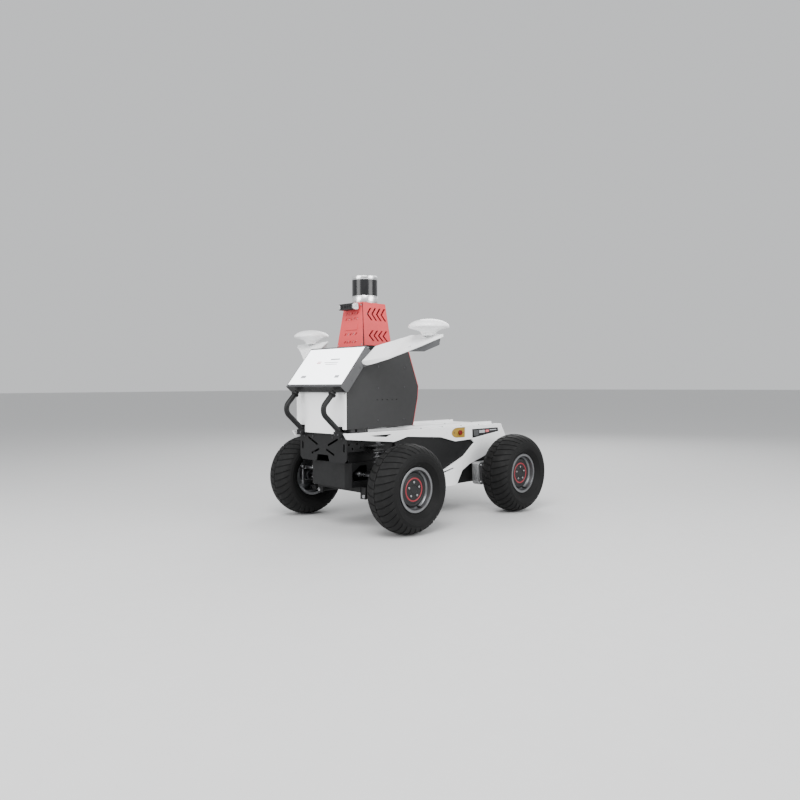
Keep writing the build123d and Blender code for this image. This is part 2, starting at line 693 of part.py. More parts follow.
def case_front():
    """The white front panel, with a tongue between the guard tubes' feet."""
    half = [(97, 362), (97, 390), (130, 390), (130, 381), (CASE_HALF_WIDTH, 381), (CASE_HALF_WIDTH, 516)]
    outline = half + [(-y, z) for y, z in reversed(half)]
    return front_prism(outline, CASE_FRONT_X - CASE_PANEL, CASE_FRONT_X)


def case_trim():
    """The red edging down the case's left rear edge."""
    inside = case_outline()[4:]
    outside = [(98.4, 381), (71.9, 489.7), (67.3, 537.2), (120.8, 673.7)]
    return side_prism(inside + outside, CASE_HALF_WIDTH - CASE_PANEL, CASE_HALF_WIDTH + 1)


def industrial_computer():
    """The computer inside the case, on its floor."""
    return box((150, -110, 385.2), (400, 110, 450))


def screen_housing():
    """The screen's sloped housing, with a shallow bed for the glass."""
    half = SCREEN_HALF_WIDTH + SCREEN_FRAME
    low, high = -SCREEN_FRAME, SCREEN_LENGTH + SCREEN_FRAME
    outline = [slab_point(low, 0), slab_point(low, -SCREEN_DEPTH + 6), slab_point(low + 8, -SCREEN_DEPTH)]
    outline += [slab_point(high, -SCREEN_DEPTH), slab_point(high, 0)]
    bed = [slab_point(0, 1), slab_point(0, -3), slab_point(SCREEN_LENGTH, -3), slab_point(SCREEN_LENGTH, 1)]
    shape = side_prism(outline, -half, half)
    return shape - side_prism(bed, -SCREEN_HALF_WIDTH, SCREEN_HALF_WIDTH)


def screen_glass():
    """The screen's flat front glass."""
    gap = 0.3
    high = SCREEN_LENGTH - gap
    outline = [slab_point(gap, -0.4), slab_point(gap, -2.8), slab_point(high, -2.8), slab_point(high, -0.4)]
    return side_prism(outline, -SCREEN_HALF_WIDTH + gap, SCREEN_HALF_WIDTH - gap)


def wing_section(y, corners):
    """One four-cornered cross-section of a wing, in (x, z), at a distance y from the middle."""
    return make_face(Polyline(*[(x, y, z) for x, z in corners], close=True))


def wing():
    """The left antenna arm: thick beside the screen, then a thin panel swept back, up and out."""
    root = wing_section(168, [(316, 688), (384, 630), (372, 610), (340, 622)])
    knee = wing_section(250, [(204, 731), (334, 646), (331, 636), (204, 720)])
    seat = wing_section(362, [(200, 728), (270, 690), (268, 682), (200, 718)])
    tip = wing_section(428, [(226, 723), (237, 719), (237, 711), (226, 714)])
    shape = stay_plate()
    for inner, outer in ((root, knee), (knee, seat), (seat, tip)):
        shape += loft([inner, outer], ruled=True)
    return shape - rod((ANTENNA_X, ANTENNA_Y, 700), (ANTENNA_X, ANTENNA_Y, 760), 10.2)


def stay_plate():
    """The thin plate that hangs under the left antenna arm, joined to it at both ends."""
    corners = [(271, 300, 667), (281, 306, 682), (278, 318, 686), (267.5, 312, 671)]
    corners += [(233, 424, 714.5), (225.3, 409.7, 687.8), (241, 350, 666)]
    plane = Plane(origin=(271, 300, 667), z_dir=(0.690, 0.402, -0.602))
    flat = [plane.to_local_coords(Vector(*corner)) for corner in corners]
    face = make_face(Polyline(*[(point.X, point.Y) for point in flat], close=True))
    return extrude(plane * face, 4.0)


def antenna():
    """A mushroom antenna: a flat domed cap on a short stem."""
    profile = [(0, 783), (30, 780), (56, 771), (72, 761), (ANTENNA_RADIUS, 755), (74, 751), (50, 745)]
    profile += [(32, 738), (26, 731), (10, 730.5), (10, 718), (0, 718)]
    points = [(ANTENNA_X + radius, ANTENNA_Y, z) for radius, z in profile]
    face = make_face(Polyline(*points, close=True))
    return revolve(face, Axis((ANTENNA_X, ANTENNA_Y, 0), (0, 0, 1)), 360)


def slanted_slot(y, z):
    """One small leaning slot through the tower's front sheet."""
    return front_prism([(y - 7, z - 5), (y - 2, z - 5), (y + 7, z + 5), (y + 2, z + 5)], 270, 300)


def tower_frame():
    """The bent red sheet that makes the tower's front, top and back."""
    front = make_face(Polyline((298, -77, 694), (298, 77, 694), (280, 52, 866), (280, -52, 866), close=True))
    front = extrude(front, 2.5, dir=(-1, 0, 0))
    for row_z in TOWER_SLOT_ROWS:
        for step in range(-2, 3):
            front -= slanted_slot(step * TOWER_SLOT_PITCH, row_z)
    back = make_face(Polyline((140, -74, 690), (140, 74, 690), (156, 52, 866), (156, -52, 866), close=True))
    back = extrude(back, 2.5, dir=(1, 0, 0))
    top = box((156, -52, 863.5), (280, 52, 866))
    foot = box((150, -70, 676.5), (290, 70, 692))
    return front + back + top + foot


def chevron(apex_x, apex_z, rise):
    """One arrow slot that points forward."""
    half = [(apex_x - 20, apex_z + rise), (apex_x - 29, apex_z + rise), (apex_x - 9, apex_z)]
    return side_prism([(apex_x, apex_z), *half, *[(x, 2 * apex_z - z) for x, z in half[1::-1]]], 40, 90)


def tower_side():
    """The tower's left side sheet, with two rows of forward-pointing chevron slots."""
    corners = [(144, 78.0, 676.5), (290, 78.0, 676.5), (276.5, 52.8, 866), (158, 52.8, 866)]
    face = make_face(Polyline(*corners, close=True))
    shape = extrude(face, 2.0, dir=(0, 1, 0))
    for apex_z, rise in ((821, 25), (736, 21)):
        for step in range(4):
            shape -= chevron(263 - 24.5 * step, apex_z, rise)
    return shape


def lidar_base():
    """The lidar's metal base, on the tower's top sheet, with the rotor's shaft."""
    shape = rod((LIDAR_X, 0, TOWER_TOP_Z), (LIDAR_X, 0, 896), LIDAR_RADIUS)
    return shape + rod((LIDAR_X, 0, 896), (LIDAR_X, 0, 950), 6.0)


def lidar_window():
    """The lidar's dark ring window."""
    shape = rod((LIDAR_X, 0, 896.2), (LIDAR_X, 0, 959.8), LIDAR_RADIUS - 0.5)
    return shape - rod((LIDAR_X, 0, 896), (LIDAR_X, 0, 960), LIDAR_RADIUS - 3.5)


def lidar_cap():
    """The lidar's metal cap."""
    shape = rod((LIDAR_X, 0, 960), (LIDAR_X, 0, LIDAR_TOP_Z), LIDAR_RADIUS)
    return chamfer(shape.edges().group_by(Axis.Z)[-1], 2.0)


def lidar_rotor():
    """The spinning head inside the lidar, with its two lens faces cut flat."""
    shape = rod((LIDAR_X, 0, 899), (LIDAR_X, 0, 956), 44.0)
    shape -= box((LIDAR_X + 34, -50, 898), (LIDAR_X + 50, 50, 957))
    return shape - rod((LIDAR_X, 0, 898), (LIDAR_X, 0, 951), 6.0 + RUNNING_GAP)


def depth_camera():
    """The stereo camera bar in front of the tower's top, on its bracket."""
    shape = box((292, -45, 837), (316, 45, 861))
    shape = fillet(shape.edges().filter_by(Axis.X), 6.0)
    return shape + box((283.2, -12, 842), (293, 12, 856))


def bolt_head(point, way, radius, height):
    """One button screw head that stands on a surface."""
    end = [a + b * height for a, b in zip(point, way)]
    return rod(point, end, radius)


def fasteners():
    """The screw heads on the case's sides, the bumper and the deck."""
    heads = []
    for side in (-1, 1):
        for x, z in CASE_SCREWS:
            heads.append(bolt_head((x, side * CASE_HALF_WIDTH, z), (0, side, 0), 4.0, 2.0))
        for y in (60, 112):
            heads.append(bolt_head((BUMPER_FRONT_X, side * y, 348), (1, 0, 0), 4.0, 2.5))
    for x in (-430, -90, 40):
        for side in (-1, 1):
            heads.append(bolt_head((x, side * 136, DECK_Z + DECK_THICKNESS), (0, 0, 1), 4.0, 2.5))
    return Compound(children=heads)


def main():
    """Writes every piece."""
    os.makedirs("parts", exist_ok=True)
    for end_name, centre_x in (("front", FRONT_AXLE_X), ("rear", REAR_AXLE_X)):
        for side_name, side in (("left", 1), ("right", -1)):
            save(tyre(centre_x, side), f"tyre_{end_name}_{side_name}")
            save(wheel(centre_x, side), f"wheel_{end_name}_{side_name}")
    handed = {
        "lower_arm": lower_arm(),
        "upper_arm": upper_arm(),
        "upright": carrier(),
        "steering_knuckle": knuckle(),
        "tie_rod": tie_rod(),
        "damper_rod": damper_rod(),
        "coil_spring": coil_spring(),
    }
    for name, shape in handed.items():
        save(shape, f"{name}_left")
        save(mirrored(shape), f"{name}_right")
    pairs = {
        "damper_tubes": damper_tube(),
        "guard_tubes": guard_tube(),
        "deck_rails": deck_rail(),
        "side_skirts": side_skirt(),
        "stop_bezels": stop_bezel(),
        "drive_motors": drive_motor(),
        "gearboxes": gearbox(),
        "case_sides": case_side(),
        "case_trim": case_trim(),
        "antenna_arms": wing(),
        "antennas": antenna(),
        "tower_sides": tower_side(),
    }
    for name, shape in pairs.items():
        save(both(shape), name)
    single = {
        "steering_rack": steering_rack(),
        "steering_actuator": steering_actuator(),
        "axle_frame": axle_frame(),
        "front_housing": front_housing(),
        "front_frame": front_frame(),
        "bumper_plate": bumper_plate(),
        "chassis_tub": chassis_tub(),
        "rear_panel": rear_panel(),
        "power_switch": power_switch(),
        "deck_plate": deck_plate(),
        "stop_button_left": stop_button(1),
        "stop_button_right": stop_button(-1),
        "battery_pack": battery_pack(),
        "motor_controller": motor_controller(),
        "case_shell": case_shell(),
        "case_front": case_front(),
        "industrial_computer": industrial_computer(),
        "screen_housing": screen_housing(),
        "screen_glass": screen_glass(),
        "tower_frame": tower_frame(),
        "lidar_base": lidar_base(),
        "lidar_window": lidar_window(),
        "lidar_cap": lidar_cap(),
        "lidar_rotor": lidar_rotor(),
        "depth_camera": depth_camera(),
        "fasteners": fasteners(),
    }
    for name, shape in single.items():
        save(shape, name)


main()
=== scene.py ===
"""Looks of the four wheel robot chassis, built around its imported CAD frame. All lengths are in metres."""

import math

import bmesh
import bpy
from mathutils import Matrix, Vector


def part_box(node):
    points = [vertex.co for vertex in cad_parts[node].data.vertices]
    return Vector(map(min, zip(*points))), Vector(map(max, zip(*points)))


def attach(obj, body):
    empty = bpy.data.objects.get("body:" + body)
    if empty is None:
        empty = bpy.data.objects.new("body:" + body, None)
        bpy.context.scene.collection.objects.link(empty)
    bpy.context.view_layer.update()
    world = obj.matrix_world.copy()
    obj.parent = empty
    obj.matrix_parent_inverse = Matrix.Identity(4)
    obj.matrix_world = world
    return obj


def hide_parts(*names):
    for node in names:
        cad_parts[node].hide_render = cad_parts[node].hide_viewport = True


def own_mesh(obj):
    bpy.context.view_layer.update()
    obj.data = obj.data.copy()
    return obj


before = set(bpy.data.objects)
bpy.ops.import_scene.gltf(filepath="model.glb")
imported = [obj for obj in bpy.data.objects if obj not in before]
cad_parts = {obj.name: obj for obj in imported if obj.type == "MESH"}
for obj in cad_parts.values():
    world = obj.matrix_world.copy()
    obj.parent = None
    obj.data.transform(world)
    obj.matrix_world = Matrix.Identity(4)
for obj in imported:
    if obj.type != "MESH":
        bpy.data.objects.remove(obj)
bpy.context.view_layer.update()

MM = 0.001
SIDES = (("left", 1), ("right", -1))
ENDS = ("front", "rear")
UP = Vector((0, 0, 1))
FORWARD = Vector((1, 0, 0))


# Materials


def new_material(name):
    """A material with only a Principled shader; returns (material, nodes, links, shader)."""
    material = bpy.data.materials.new(name)
    material.use_nodes = True
    nodes, links = material.node_tree.nodes, material.node_tree.links
    nodes.clear()
    shader = nodes.new("ShaderNodeBsdfPrincipled")
    output = nodes.new("ShaderNodeOutputMaterial")
    links.new(shader.outputs["BSDF"], output.inputs["Surface"])
    return material, nodes, links, shader


def noise(nodes, links, vector, scale, detail=4.0, roughness=0.55):
    """A noise texture's factor on a given vector output."""
    node = nodes.new("ShaderNodeTexNoise")
    node.inputs["Scale"].default_value = scale
    node.inputs["Detail"].default_value = detail
    node.inputs["Roughness"].default_value = roughness
    links.new(vector, node.inputs["Vector"])
    return node.outputs["Fac"]


def ramp(nodes, links, factor, stops):
    """A colour ramp with (position, colour) stops."""
    node = nodes.new("ShaderNodeValToRGB")
    elements = node.color_ramp.elements
    elements[0].position, elements[0].color = stops[0][0], (*stops[0][1], 1)
    elements[1].position, elements[1].color = stops[-1][0], (*stops[-1][1], 1)
    for position, colour in stops[1:-1]:
        elements.new(position).color = (*colour, 1)
    links.new(factor, node.inputs["Fac"])
    return node.outputs["Color"]


def spread(nodes, links, factor, low, high):
    """Maps a factor from 0.3..0.7 to low..high."""
    node = nodes.new("ShaderNodeMapRange")
    node.inputs["From Min"].default_value = 0.3
    node.inputs["From Max"].default_value = 0.7
    node.inputs["To Min"].default_value = low
    node.inputs["To Max"].default_value = high
    links.new(factor, node.inputs["Value"])
    return node.outputs["Result"]


def bump(nodes, links, shader, height, strength, distance):
    """Adds a bump to a shader's normal."""
    node = nodes.new("ShaderNodeBump")
    node.inputs["Strength"].default_value = strength
    node.inputs["Distance"].default_value = distance
    links.new(height, node.inputs["Height"])
    links.new(node.outputs["Normal"], shader.inputs["Normal"])


def tinted(colour, amount):
    """A colour made lighter or darker by a share."""
    return tuple(max(0.0, min(1.0, c * (1 + amount))) for c in colour)


def edge_wear(nodes, links, shade, worn, low=0.52, high=0.60):
    """Mixes a worn colour in along convex edges, broken up by noise."""
    place = nodes.new("ShaderNodeTexCoord").outputs["Object"]
    geometry = nodes.new("ShaderNodeNewGeometry")
    edge = nodes.new("ShaderNodeMapRange")
    edge.inputs["From Min"].default_value = low
    edge.inputs["From Max"].default_value = high
    links.new(geometry.outputs["Pointiness"], edge.inputs["Value"])
    patch = spread(nodes, links, noise(nodes, links, place, 60.0), 0.0, 1.0)
    both = nodes.new("ShaderNodeMath")
    both.operation = "MULTIPLY"
    links.new(edge.outputs["Result"], both.inputs[0])
    links.new(patch, both.inputs[1])
    mix = nodes.new("ShaderNodeMix")
    mix.data_type = "RGBA"
    mix.inputs[7].default_value = (*worn, 1)
    links.new(both.outputs[0], mix.inputs[0])
    links.new(shade, mix.inputs[6])
    return mix.outputs[2]


def coated(
    name, colour, rough, grain=1400.0, depth=0.00006, variation=0.06, metallic=0.0, coat=0.0, shine=0.5
):
    """A painted, powder-coated or moulded finish: fine surface grain, slow colour drift and uneven gloss."""
    material, nodes, links, shader = new_material(name)
    place = nodes.new("ShaderNodeTexCoord").outputs["Object"]
    slow = noise(nodes, links, place, 9.0, 5.0)
    shade = ramp(nodes, links, slow, [(0.3, tinted(colour, -variation)), (0.7, tinted(colour, variation))])
    links.new(shade, shader.inputs["Base Color"])
    smear = noise(nodes, links, place, 34.0, 6.0, 0.65)
    links.new(spread(nodes, links, smear, rough * 0.82, min(1.0, rough * 1.18)), shader.inputs["Roughness"])
    bump(nodes, links, shader, noise(nodes, links, place, grain, 2.0), 0.35, depth)
    shader.inputs["Metallic"].default_value = metallic
    shader.inputs["Specular IOR Level"].default_value = shine
    shader.inputs["Coat Weight"].default_value = coat
    shader.inputs["Coat Roughness"].default_value = 0.12
    return material


def brushed(name, colour, rough, stretch=(1, 1, 0.03), scale=900.0):
    """Turned or brushed metal: fine streaks, long in the direction with the smallest stretch."""
    material, nodes, links, shader = new_material(name)
    place = nodes.new("ShaderNodeTexCoord").outputs["Object"]
    mapping = nodes.new("ShaderNodeMapping")
    mapping.inputs["Scale"].default_value = stretch
    links.new(place, mapping.inputs["Vector"])
    streak = noise(nodes, links, mapping.outputs["Vector"], scale, 3.0)
    shade = ramp(nodes, links, streak, [(0.3, tinted(colour, -0.08)), (0.7, tinted(colour, 0.06))])
    links.new(shade, shader.inputs["Base Color"])
    links.new(spread(nodes, links, streak, rough * 0.7, rough * 1.3), shader.inputs["Roughness"])
    bump(nodes, links, shader, streak, 0.2, 0.00004)
    shader.inputs["Metallic"].default_value = 1.0
    return material


def cast(name, colour, rough):
    """Cast aluminium: a coarse pebbled skin with a fine grain on it."""
    material, nodes, links, shader = new_material(name)
    place = nodes.new("ShaderNodeTexCoord").outputs["Object"]
    pebble = noise(nodes, links, place, 420.0, 6.0, 0.7)
    slow = noise(nodes, links, place, 16.0, 4.0)
    shade = ramp(nodes, links, slow, [(0.3, tinted(colour, -0.12)), (0.7, tinted(colour, 0.08))])
    links.new(edge_wear(nodes, links, shade, tinted(colour, 0.3)), shader.inputs["Base Color"])
    links.new(spread(nodes, links, pebble, rough * 0.8, rough * 1.2), shader.inputs["Roughness"])
    bump(nodes, links, shader, pebble, 0.6, 0.0003)
    shader.inputs["Metallic"].default_value = 0.9
    return material


def tyre_rubber():
    """Dark rubber with a faint dusty bloom and fine pits."""
    material, nodes, links, shader = new_material("tyre_rubber")
    place = nodes.new("ShaderNodeTexCoord").outputs["Object"]
    dust = noise(nodes, links, place, 24.0, 8.0, 0.7)
    stops = [
        (0.3, (0.0040, 0.0040, 0.0041)),
        (0.55, (0.0055, 0.0055, 0.0056)),
        (0.8, (0.0085, 0.0085, 0.0085)),
    ]
    shade = edge_wear(nodes, links, ramp(nodes, links, dust, stops), (0.018, 0.018, 0.018), 0.54, 0.64)
    links.new(shade, shader.inputs["Base Color"])
    links.new(spread(nodes, links, dust, 0.58, 0.8), shader.inputs["Roughness"])
    bump(nodes, links, shader, noise(nodes, links, place, 700.0, 4.0, 0.7), 0.5, 0.00025)
    shader.inputs["Specular IOR Level"].default_value = 0.18
    return material


def lit_screen():
    """The display: white, a little self-lit, under smooth glass with faint smears."""
    material = coated("lit_screen_white", (0.86, 0.87, 0.89), 0.22, 260.0, 0.00001, 0.01, coat=0.5)
    shader = material.node_tree.nodes["Principled BSDF"]
    shader.inputs["Emission Color"].default_value = (0.93, 0.96, 1.0, 1)
    shader.inputs["Emission Strength"].default_value = 3.5
    return material


def arm_finish(stay_normal):
    """White powder coat, but grey on faces that look along the stay plate's normal, on either side."""
    name = "antenna_arm_coat"
    material = coated(name, (0.87, 0.875, 0.88), 0.38, 1500.0, 0.00006, 0.02)
    nodes, links = material.node_tree.nodes, material.node_tree.links
    shader = nodes["Principled BSDF"]
    white = shader.inputs["Base Color"].links[0].from_socket
    facing = nodes.new("ShaderNodeNewGeometry").outputs["Normal"]
    parts = nodes.new("ShaderNodeSeparateXYZ")
    links.new(facing, parts.inputs[0])
    size = nodes.new("ShaderNodeMath")
    size.operation = "ABSOLUTE"
    links.new(parts.outputs["Y"], size.inputs[0])
    flip = nodes.new("ShaderNodeMath")
    flip.operation = "SIGN"
    links.new(parts.outputs["X"], flip.inputs[0])
    signed = nodes.new("ShaderNodeMath")
    signed.operation = "MULTIPLY"
    links.new(size.outputs[0], signed.inputs[0])
    links.new(flip.outputs[0], signed.inputs[1])
    folded = nodes.new("ShaderNodeCombineXYZ")
    links.new(parts.outputs["X"], folded.inputs["X"])
    links.new(signed.outputs[0], folded.inputs["Y"])
    links.new(parts.outputs["Z"], folded.inputs["Z"])
    match = nodes.new("ShaderNodeVectorMath")
    match.operation = "DOT_PRODUCT"
    match.inputs[1].default_value = stay_normal
    links.new(folded.outputs[0], match.inputs[0])
    nearness = nodes.new("ShaderNodeMath")
    nearness.operation = "ABSOLUTE"
    links.new(match.outputs["Value"], nearness.inputs[0])
    stay = nodes.new("ShaderNodeMath")
    stay.operation = "GREATER_THAN"
    stay.inputs[1].default_value = 0.985
    links.new(nearness.outputs[0], stay.inputs[0])
    mix = nodes.new("ShaderNodeMix")
    mix.data_type = "RGBA"
    mix.inputs[7].default_value = (0.10, 0.102, 0.106, 1)
    links.new(stay.outputs[0], mix.inputs[0])
    links.new(white, mix.inputs[6])
    links.new(mix.outputs[2], shader.inputs["Base Color"])
    return material


def make_materials():
    """Every material of the object, by a short name."""
    return {
        "tyre": tyre_rubber(),
        "rim": coated("rim_grey", (0.16, 0.163, 0.17), 0.36, 900.0, 0.00008, 0.06, 0.8),
        "lip": brushed("rim_lip_metal", (0.22, 0.222, 0.228), 0.33, (1, 0.03, 1)),
        "hub": coated("hub_charcoal", (0.009, 0.0092, 0.0098), 0.45, 1100.0, 0.00008, 0.08, shine=0.3),
        "white": coated("white_moulding", (0.88, 0.885, 0.89), 0.30, 1600.0, 0.00003, 0.02, coat=0.25),
        "white_metal": coated("white_powder_coat", (0.87, 0.875, 0.88), 0.38, 1500.0, 0.00006, 0.02),
        "antenna_arm": arm_finish((0.690, 0.402, -0.602)),
        "charcoal": coated(
            "charcoal_powder_coat", (0.0068, 0.0069, 0.0073), 0.5, 1300.0, 0.00012, 0.06, shine=0.25
        ),
        "grey": coated("grey_powder_coat", (0.024, 0.0242, 0.0247), 0.5, 1300.0, 0.00010, 0.04, shine=0.3),
        "plate_grey": coated("plate_grey_coat", (0.060, 0.061, 0.064), 0.45, 1300.0, 0.00008, 0.04),
        "red": coated("red_powder_coat", (0.60, 0.050, 0.056), 0.42, 1300.0, 0.00008, 0.04),
        "hub_red": coated("hub_ring_red", (0.26, 0.012, 0.022), 0.4, 900.0, 0.00004, 0.05),
        "red_gloss": coated("red_button_plastic", (0.15, 0.006, 0.006), 0.25, 800.0, 0.00003, 0.05, coat=0.5),
        "yellow": coated("yellow_plastic", (0.30, 0.185, 0.022), 0.4, 900.0, 0.00004, 0.06),
        "black": coated("black_plastic", (0.007, 0.007, 0.0075), 0.5, 1000.0, 0.0001, 0.1, shine=0.35),
        "gloss_black": coated("gloss_black_window", (0.006, 0.006, 0.007), 0.22, 300.0, 0.00001, 0.1),
        "steel": brushed("machined_steel", (0.42, 0.42, 0.43), 0.34),
        "dark_steel": brushed("oiled_dark_steel", (0.09, 0.09, 0.094), 0.38, (1, 0.04, 1)),
        "chrome": brushed("polished_chrome", (0.72, 0.73, 0.74), 0.14, (1, 0.05, 1), 300.0),
        "silver": brushed("turned_aluminium", (0.86, 0.865, 0.87), 0.3, (0.03, 0.03, 1)),
        "cast": cast("cast_aluminium", (0.46, 0.465, 0.47), 0.42),
        "spring": coated("spring_black_coat", (0.02, 0.02, 0.022), 0.38, 700.0, 0.00006, 0.1, coat=0.3),
        "screen": lit_screen(),
        "mark_grey": coated("screen_mark_grey", (0.42, 0.43, 0.45), 0.3, 300.0, 0.00001, 0.05, coat=0.4),
        "mark_red": coated("screen_mark_red", (0.70, 0.16, 0.18), 0.3, 300.0, 0.00001, 0.05, coat=0.4),
    }


MATERIALS = make_materials()

NODE_MATERIALS = {
    "white": ["side_skirts"],
    "white_metal": ["deck_plate", "deck_rails", "case_front"],
    "antenna_arm": ["antenna_arms"],
    "charcoal": [
        "chassis_tub", "rear_panel", "axle_frame", "front_housing", "front_frame", "bumper_plate",
        "guard_tubes",
        "steering_actuator", "lower_arm_left", "lower_arm_right", "upper_arm_left", "upper_arm_right",
    ],
    "grey": ["case_sides", "case_shell", "damper_tubes"],
    "plate_grey": ["screen_housing"],
    "red": ["tower_frame", "tower_sides", "case_trim"],
    "red_gloss": ["stop_button_left", "stop_button_right"],
    "yellow": ["stop_bezels"],
    "black": [
        "power_switch", "battery_pack", "motor_controller", "industrial_computer", "lidar_rotor",
        "depth_camera",
    ],
    "gloss_black": ["lidar_window"],
    "steel": ["drive_motors", "damper_rod_left", "damper_rod_right"],
    "dark_steel": [
        "upright_left", "upright_right", "steering_knuckle_left", "steering_knuckle_right",
        "tie_rod_left", "tie_rod_right", "steering_rack",
    ],
    "silver": ["lidar_base", "lidar_cap"],
    "cast": ["gearboxes"],
    "screen": ["screen_glass"],
}
EDGE_ROUNDING = {"side_skirts": 0.0016, "deck_rails": 0.001, "screen_housing": 0.002, "lidar_cap": 0.0015}
FLAT_NODES = (
    "case_sides", "case_shell", "case_trim", "tower_sides", "bumper_plate", "screen_glass", "lidar_window",
    "upper_arm_left", "upper_arm_right", "upright_left", "upright_right",
)


def paint(piece, material):
    """Gives a piece one material."""
    piece.data.materials.clear()
    piece.data.materials.append(MATERIALS[material])


def finish_nodes():
    """Paints the CAD nodes that stay, and rounds edges, but not on cut sheet or in close-running joints."""
    for material, names in NODE_MATERIALS.items():
        for name in names:
            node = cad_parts[name]
            paint(node, material)
            if name in FLAT_NODES:
                continue
            weld = node.modifiers.new("weld", "WELD")
            weld.merge_threshold = 0.00002
            rounded = node.modifiers.new("rounded_edges", "BEVEL")
            rounded.width = EDGE_ROUNDING.get(name, 0.0008)
            rounded.segments = 2
            rounded.limit_method = "ANGLE"
            rounded.angle_limit = math.radians(35)
            rounded.harden_normals = True


finish_nodes()


# Mesh helpers


def piece_from(shape, name, material, body, replaced=(), smooth_angle=38):
    """Turns a bmesh into a piece of the object, painted and riding on a body."""
    bmesh.ops.recalc_face_normals(shape, faces=shape.faces)
    mesh = bpy.data.meshes.new(name)
    shape.to_mesh(mesh)
    shape.free()
    piece = bpy.data.objects.new(name, mesh)
    bpy.context.scene.collection.objects.link(piece)
    materials = [material] if isinstance(material, str) else material
    for each in materials:
        mesh.materials.append(MATERIALS[each])
    mesh.polygons.foreach_set("use_smooth", [True] * len(mesh.polygons))
    mesh.set_sharp_from_angle(angle=math.radians(smooth_angle))
    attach(piece, body)
    if replaced:
        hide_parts(*replaced)
    return piece


def bevelled(piece, width, segments=2, angle=35):
    """Rounds a piece's hard edges."""
    rounded = piece.modifiers.new("rounded_edges", "BEVEL")
    rounded.width = width
    rounded.segments = segments
    rounded.limit_method = "ANGLE"
    rounded.angle_limit = math.radians(angle)
    rounded.harden_normals = True
    return piece


def mm(*values):
    """A point or a list of lengths given in millimetres."""
    return Vector([value * MM for value in values])


def across(way):
    """Two unit vectors square to a direction and to each other."""
    helper = UP if abs(way.normalized().z) < 0.9 else FORWARD
    first = way.cross(helper).normalized()
    return first, way.cross(first).normalized()


def lathe(shape, origin, way, profile, steps, closed=False, material=0):
    """Spins a (radius, height) profile about an axle; points at radius 0 close the middle."""
    way = way.normalized()
    first, second = across(way)
    columns = []
    for radius, height in profile:
        middle = origin + way * height
        if radius == 0:
            columns.append([shape.verts.new(middle)] * steps)
            continue
        ring = []
        for i in range(steps):
            angle = 2 * math.pi * i / steps
            spoke = first * math.cos(angle) + second * math.sin(angle)
            ring.append(shape.verts.new(middle + spoke * radius))
        columns.append(ring)
    pairs = list(zip(columns, columns[1:]))
    if closed:
        pairs.append((columns[-1], columns[0]))
    for low, high in pairs:
        for i in range(steps):
            j = (i + 1) % steps
            corners = []
            for vert in (low[i], low[j], high[j], high[i]):
                if vert not in corners:
                    corners.append(vert)
            if len(corners) > 2:
                shape.faces.new(corners).material_index = material


def in_mm(profile):
    """A (radius, height) profile given in millimetres."""
    return [(radius * MM, height * MM) for radius, height in profile]


def add_screw(shape, point, way, radius, height):
    """A button head screw with a sunk drive, standing on a surface."""
    profile = [
        (0, 0), (radius, 0), (radius, height * 0.5), (radius * 0.82, height * 0.9), (radius * 0.55, height),
        (radius * 0.48, height * 0.96), (radius * 0.42, height * 0.35), (0, height * 0.35),
    ]
    lathe(shape, point, way, profile, 14)


def add_block(shape, low, high):
    """A block between two corners."""
    size = high - low
    made = bmesh.ops.create_cube(shape, size=1.0)["verts"]
    bmesh.ops.scale(shape, vec=size, verts=made)
    bmesh.ops.translate(shape, vec=(low + high) / 2, verts=made)


def add_plate(shape, outline, thickness, material=0):
    """A flat plate: an outline of points in a plane, thickened along a vector."""
    low = [shape.verts.new(point) for point in outline]
    high = [shape.verts.new(point + thickness) for point in outline]
    shape.faces.new(low).material_index = material
    shape.faces.new(reversed(high)).material_index = material
    for i in range(len(low)):
        j = (i + 1) % len(low)
        shape.faces.new((low[i], low[j], high[j], high[i])).material_index = material


def add_tube(shape, points, radius, steps=10):
    """A round tube along a list of points, closed at both ends."""
    rings = []
    last = len(points) - 1
    for index, point in enumerate(points):
        way = points[min(index + 1, last)] - points[max(index - 1, 0)]
        first = way.cross(UP).normalized()
        second = way.cross(first).normalized()
        turns = [2 * math.pi * i / steps for i in range(steps)]
        spokes = [first * math.cos(angle) + second * math.sin(angle) for angle in turns]
        rings.append([shape.verts.new(point + spoke * radius) for spoke in spokes])
    for low, high in zip(rings, rings[1:]):
        for i in range(steps):
            j = (i + 1) % steps
            shape.faces.new((low[i], low[j], high[j], high[i]))
    shape.faces.new(rings[0])
    shape.faces.new(reversed(rings[-1]))


def middle_of(node):
    """The middle of a CAD node's box."""
    low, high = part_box(node)
    return (Vector(low) + Vector(high)) / 2


def outward(side):
    """The direction away from the robot's middle on one side."""
    return Vector((0, side, 0))


# Wheels

TREAD_SECTION_CENTRE = 121 * MM
TREAD_SECTION_RADIUS = 44 * MM
TREAD_HALF_WIDTH = 70 * MM
LUG_HEIGHT = 3.4 * MM
LUG_COUNT = 36
SIDE_RING_HEIGHT = 1.0 * MM
SIDE_RINGS = ((86.0, 2.0), (113.0, 1.8))


def wheel_point(centre, side, radius, offset, angle):
    """A point on a wheel: radius and angle about its axle, offset outwards along it."""
    return Vector((
        centre.x + radius * math.cos(angle),
        centre.y + side * offset,
        centre.z + radius * math.sin(angle),
    ))


def carcass_point(section_angle, lift):
    """A (radius, offset) point on the tyre's skin; lift is measured out from the floor between the lugs."""
    out = Vector((math.cos(section_angle) / TREAD_SECTION_RADIUS, math.sin(section_angle) / TREAD_HALF_WIDTH))
    out.normalize()
    radius = TREAD_SECTION_CENTRE + TREAD_SECTION_RADIUS * math.cos(section_angle)
    offset = TREAD_HALF_WIDTH * math.sin(section_angle)
    return radius + out.x * (lift - LUG_HEIGHT), offset + out.y * (lift - LUG_HEIGHT)


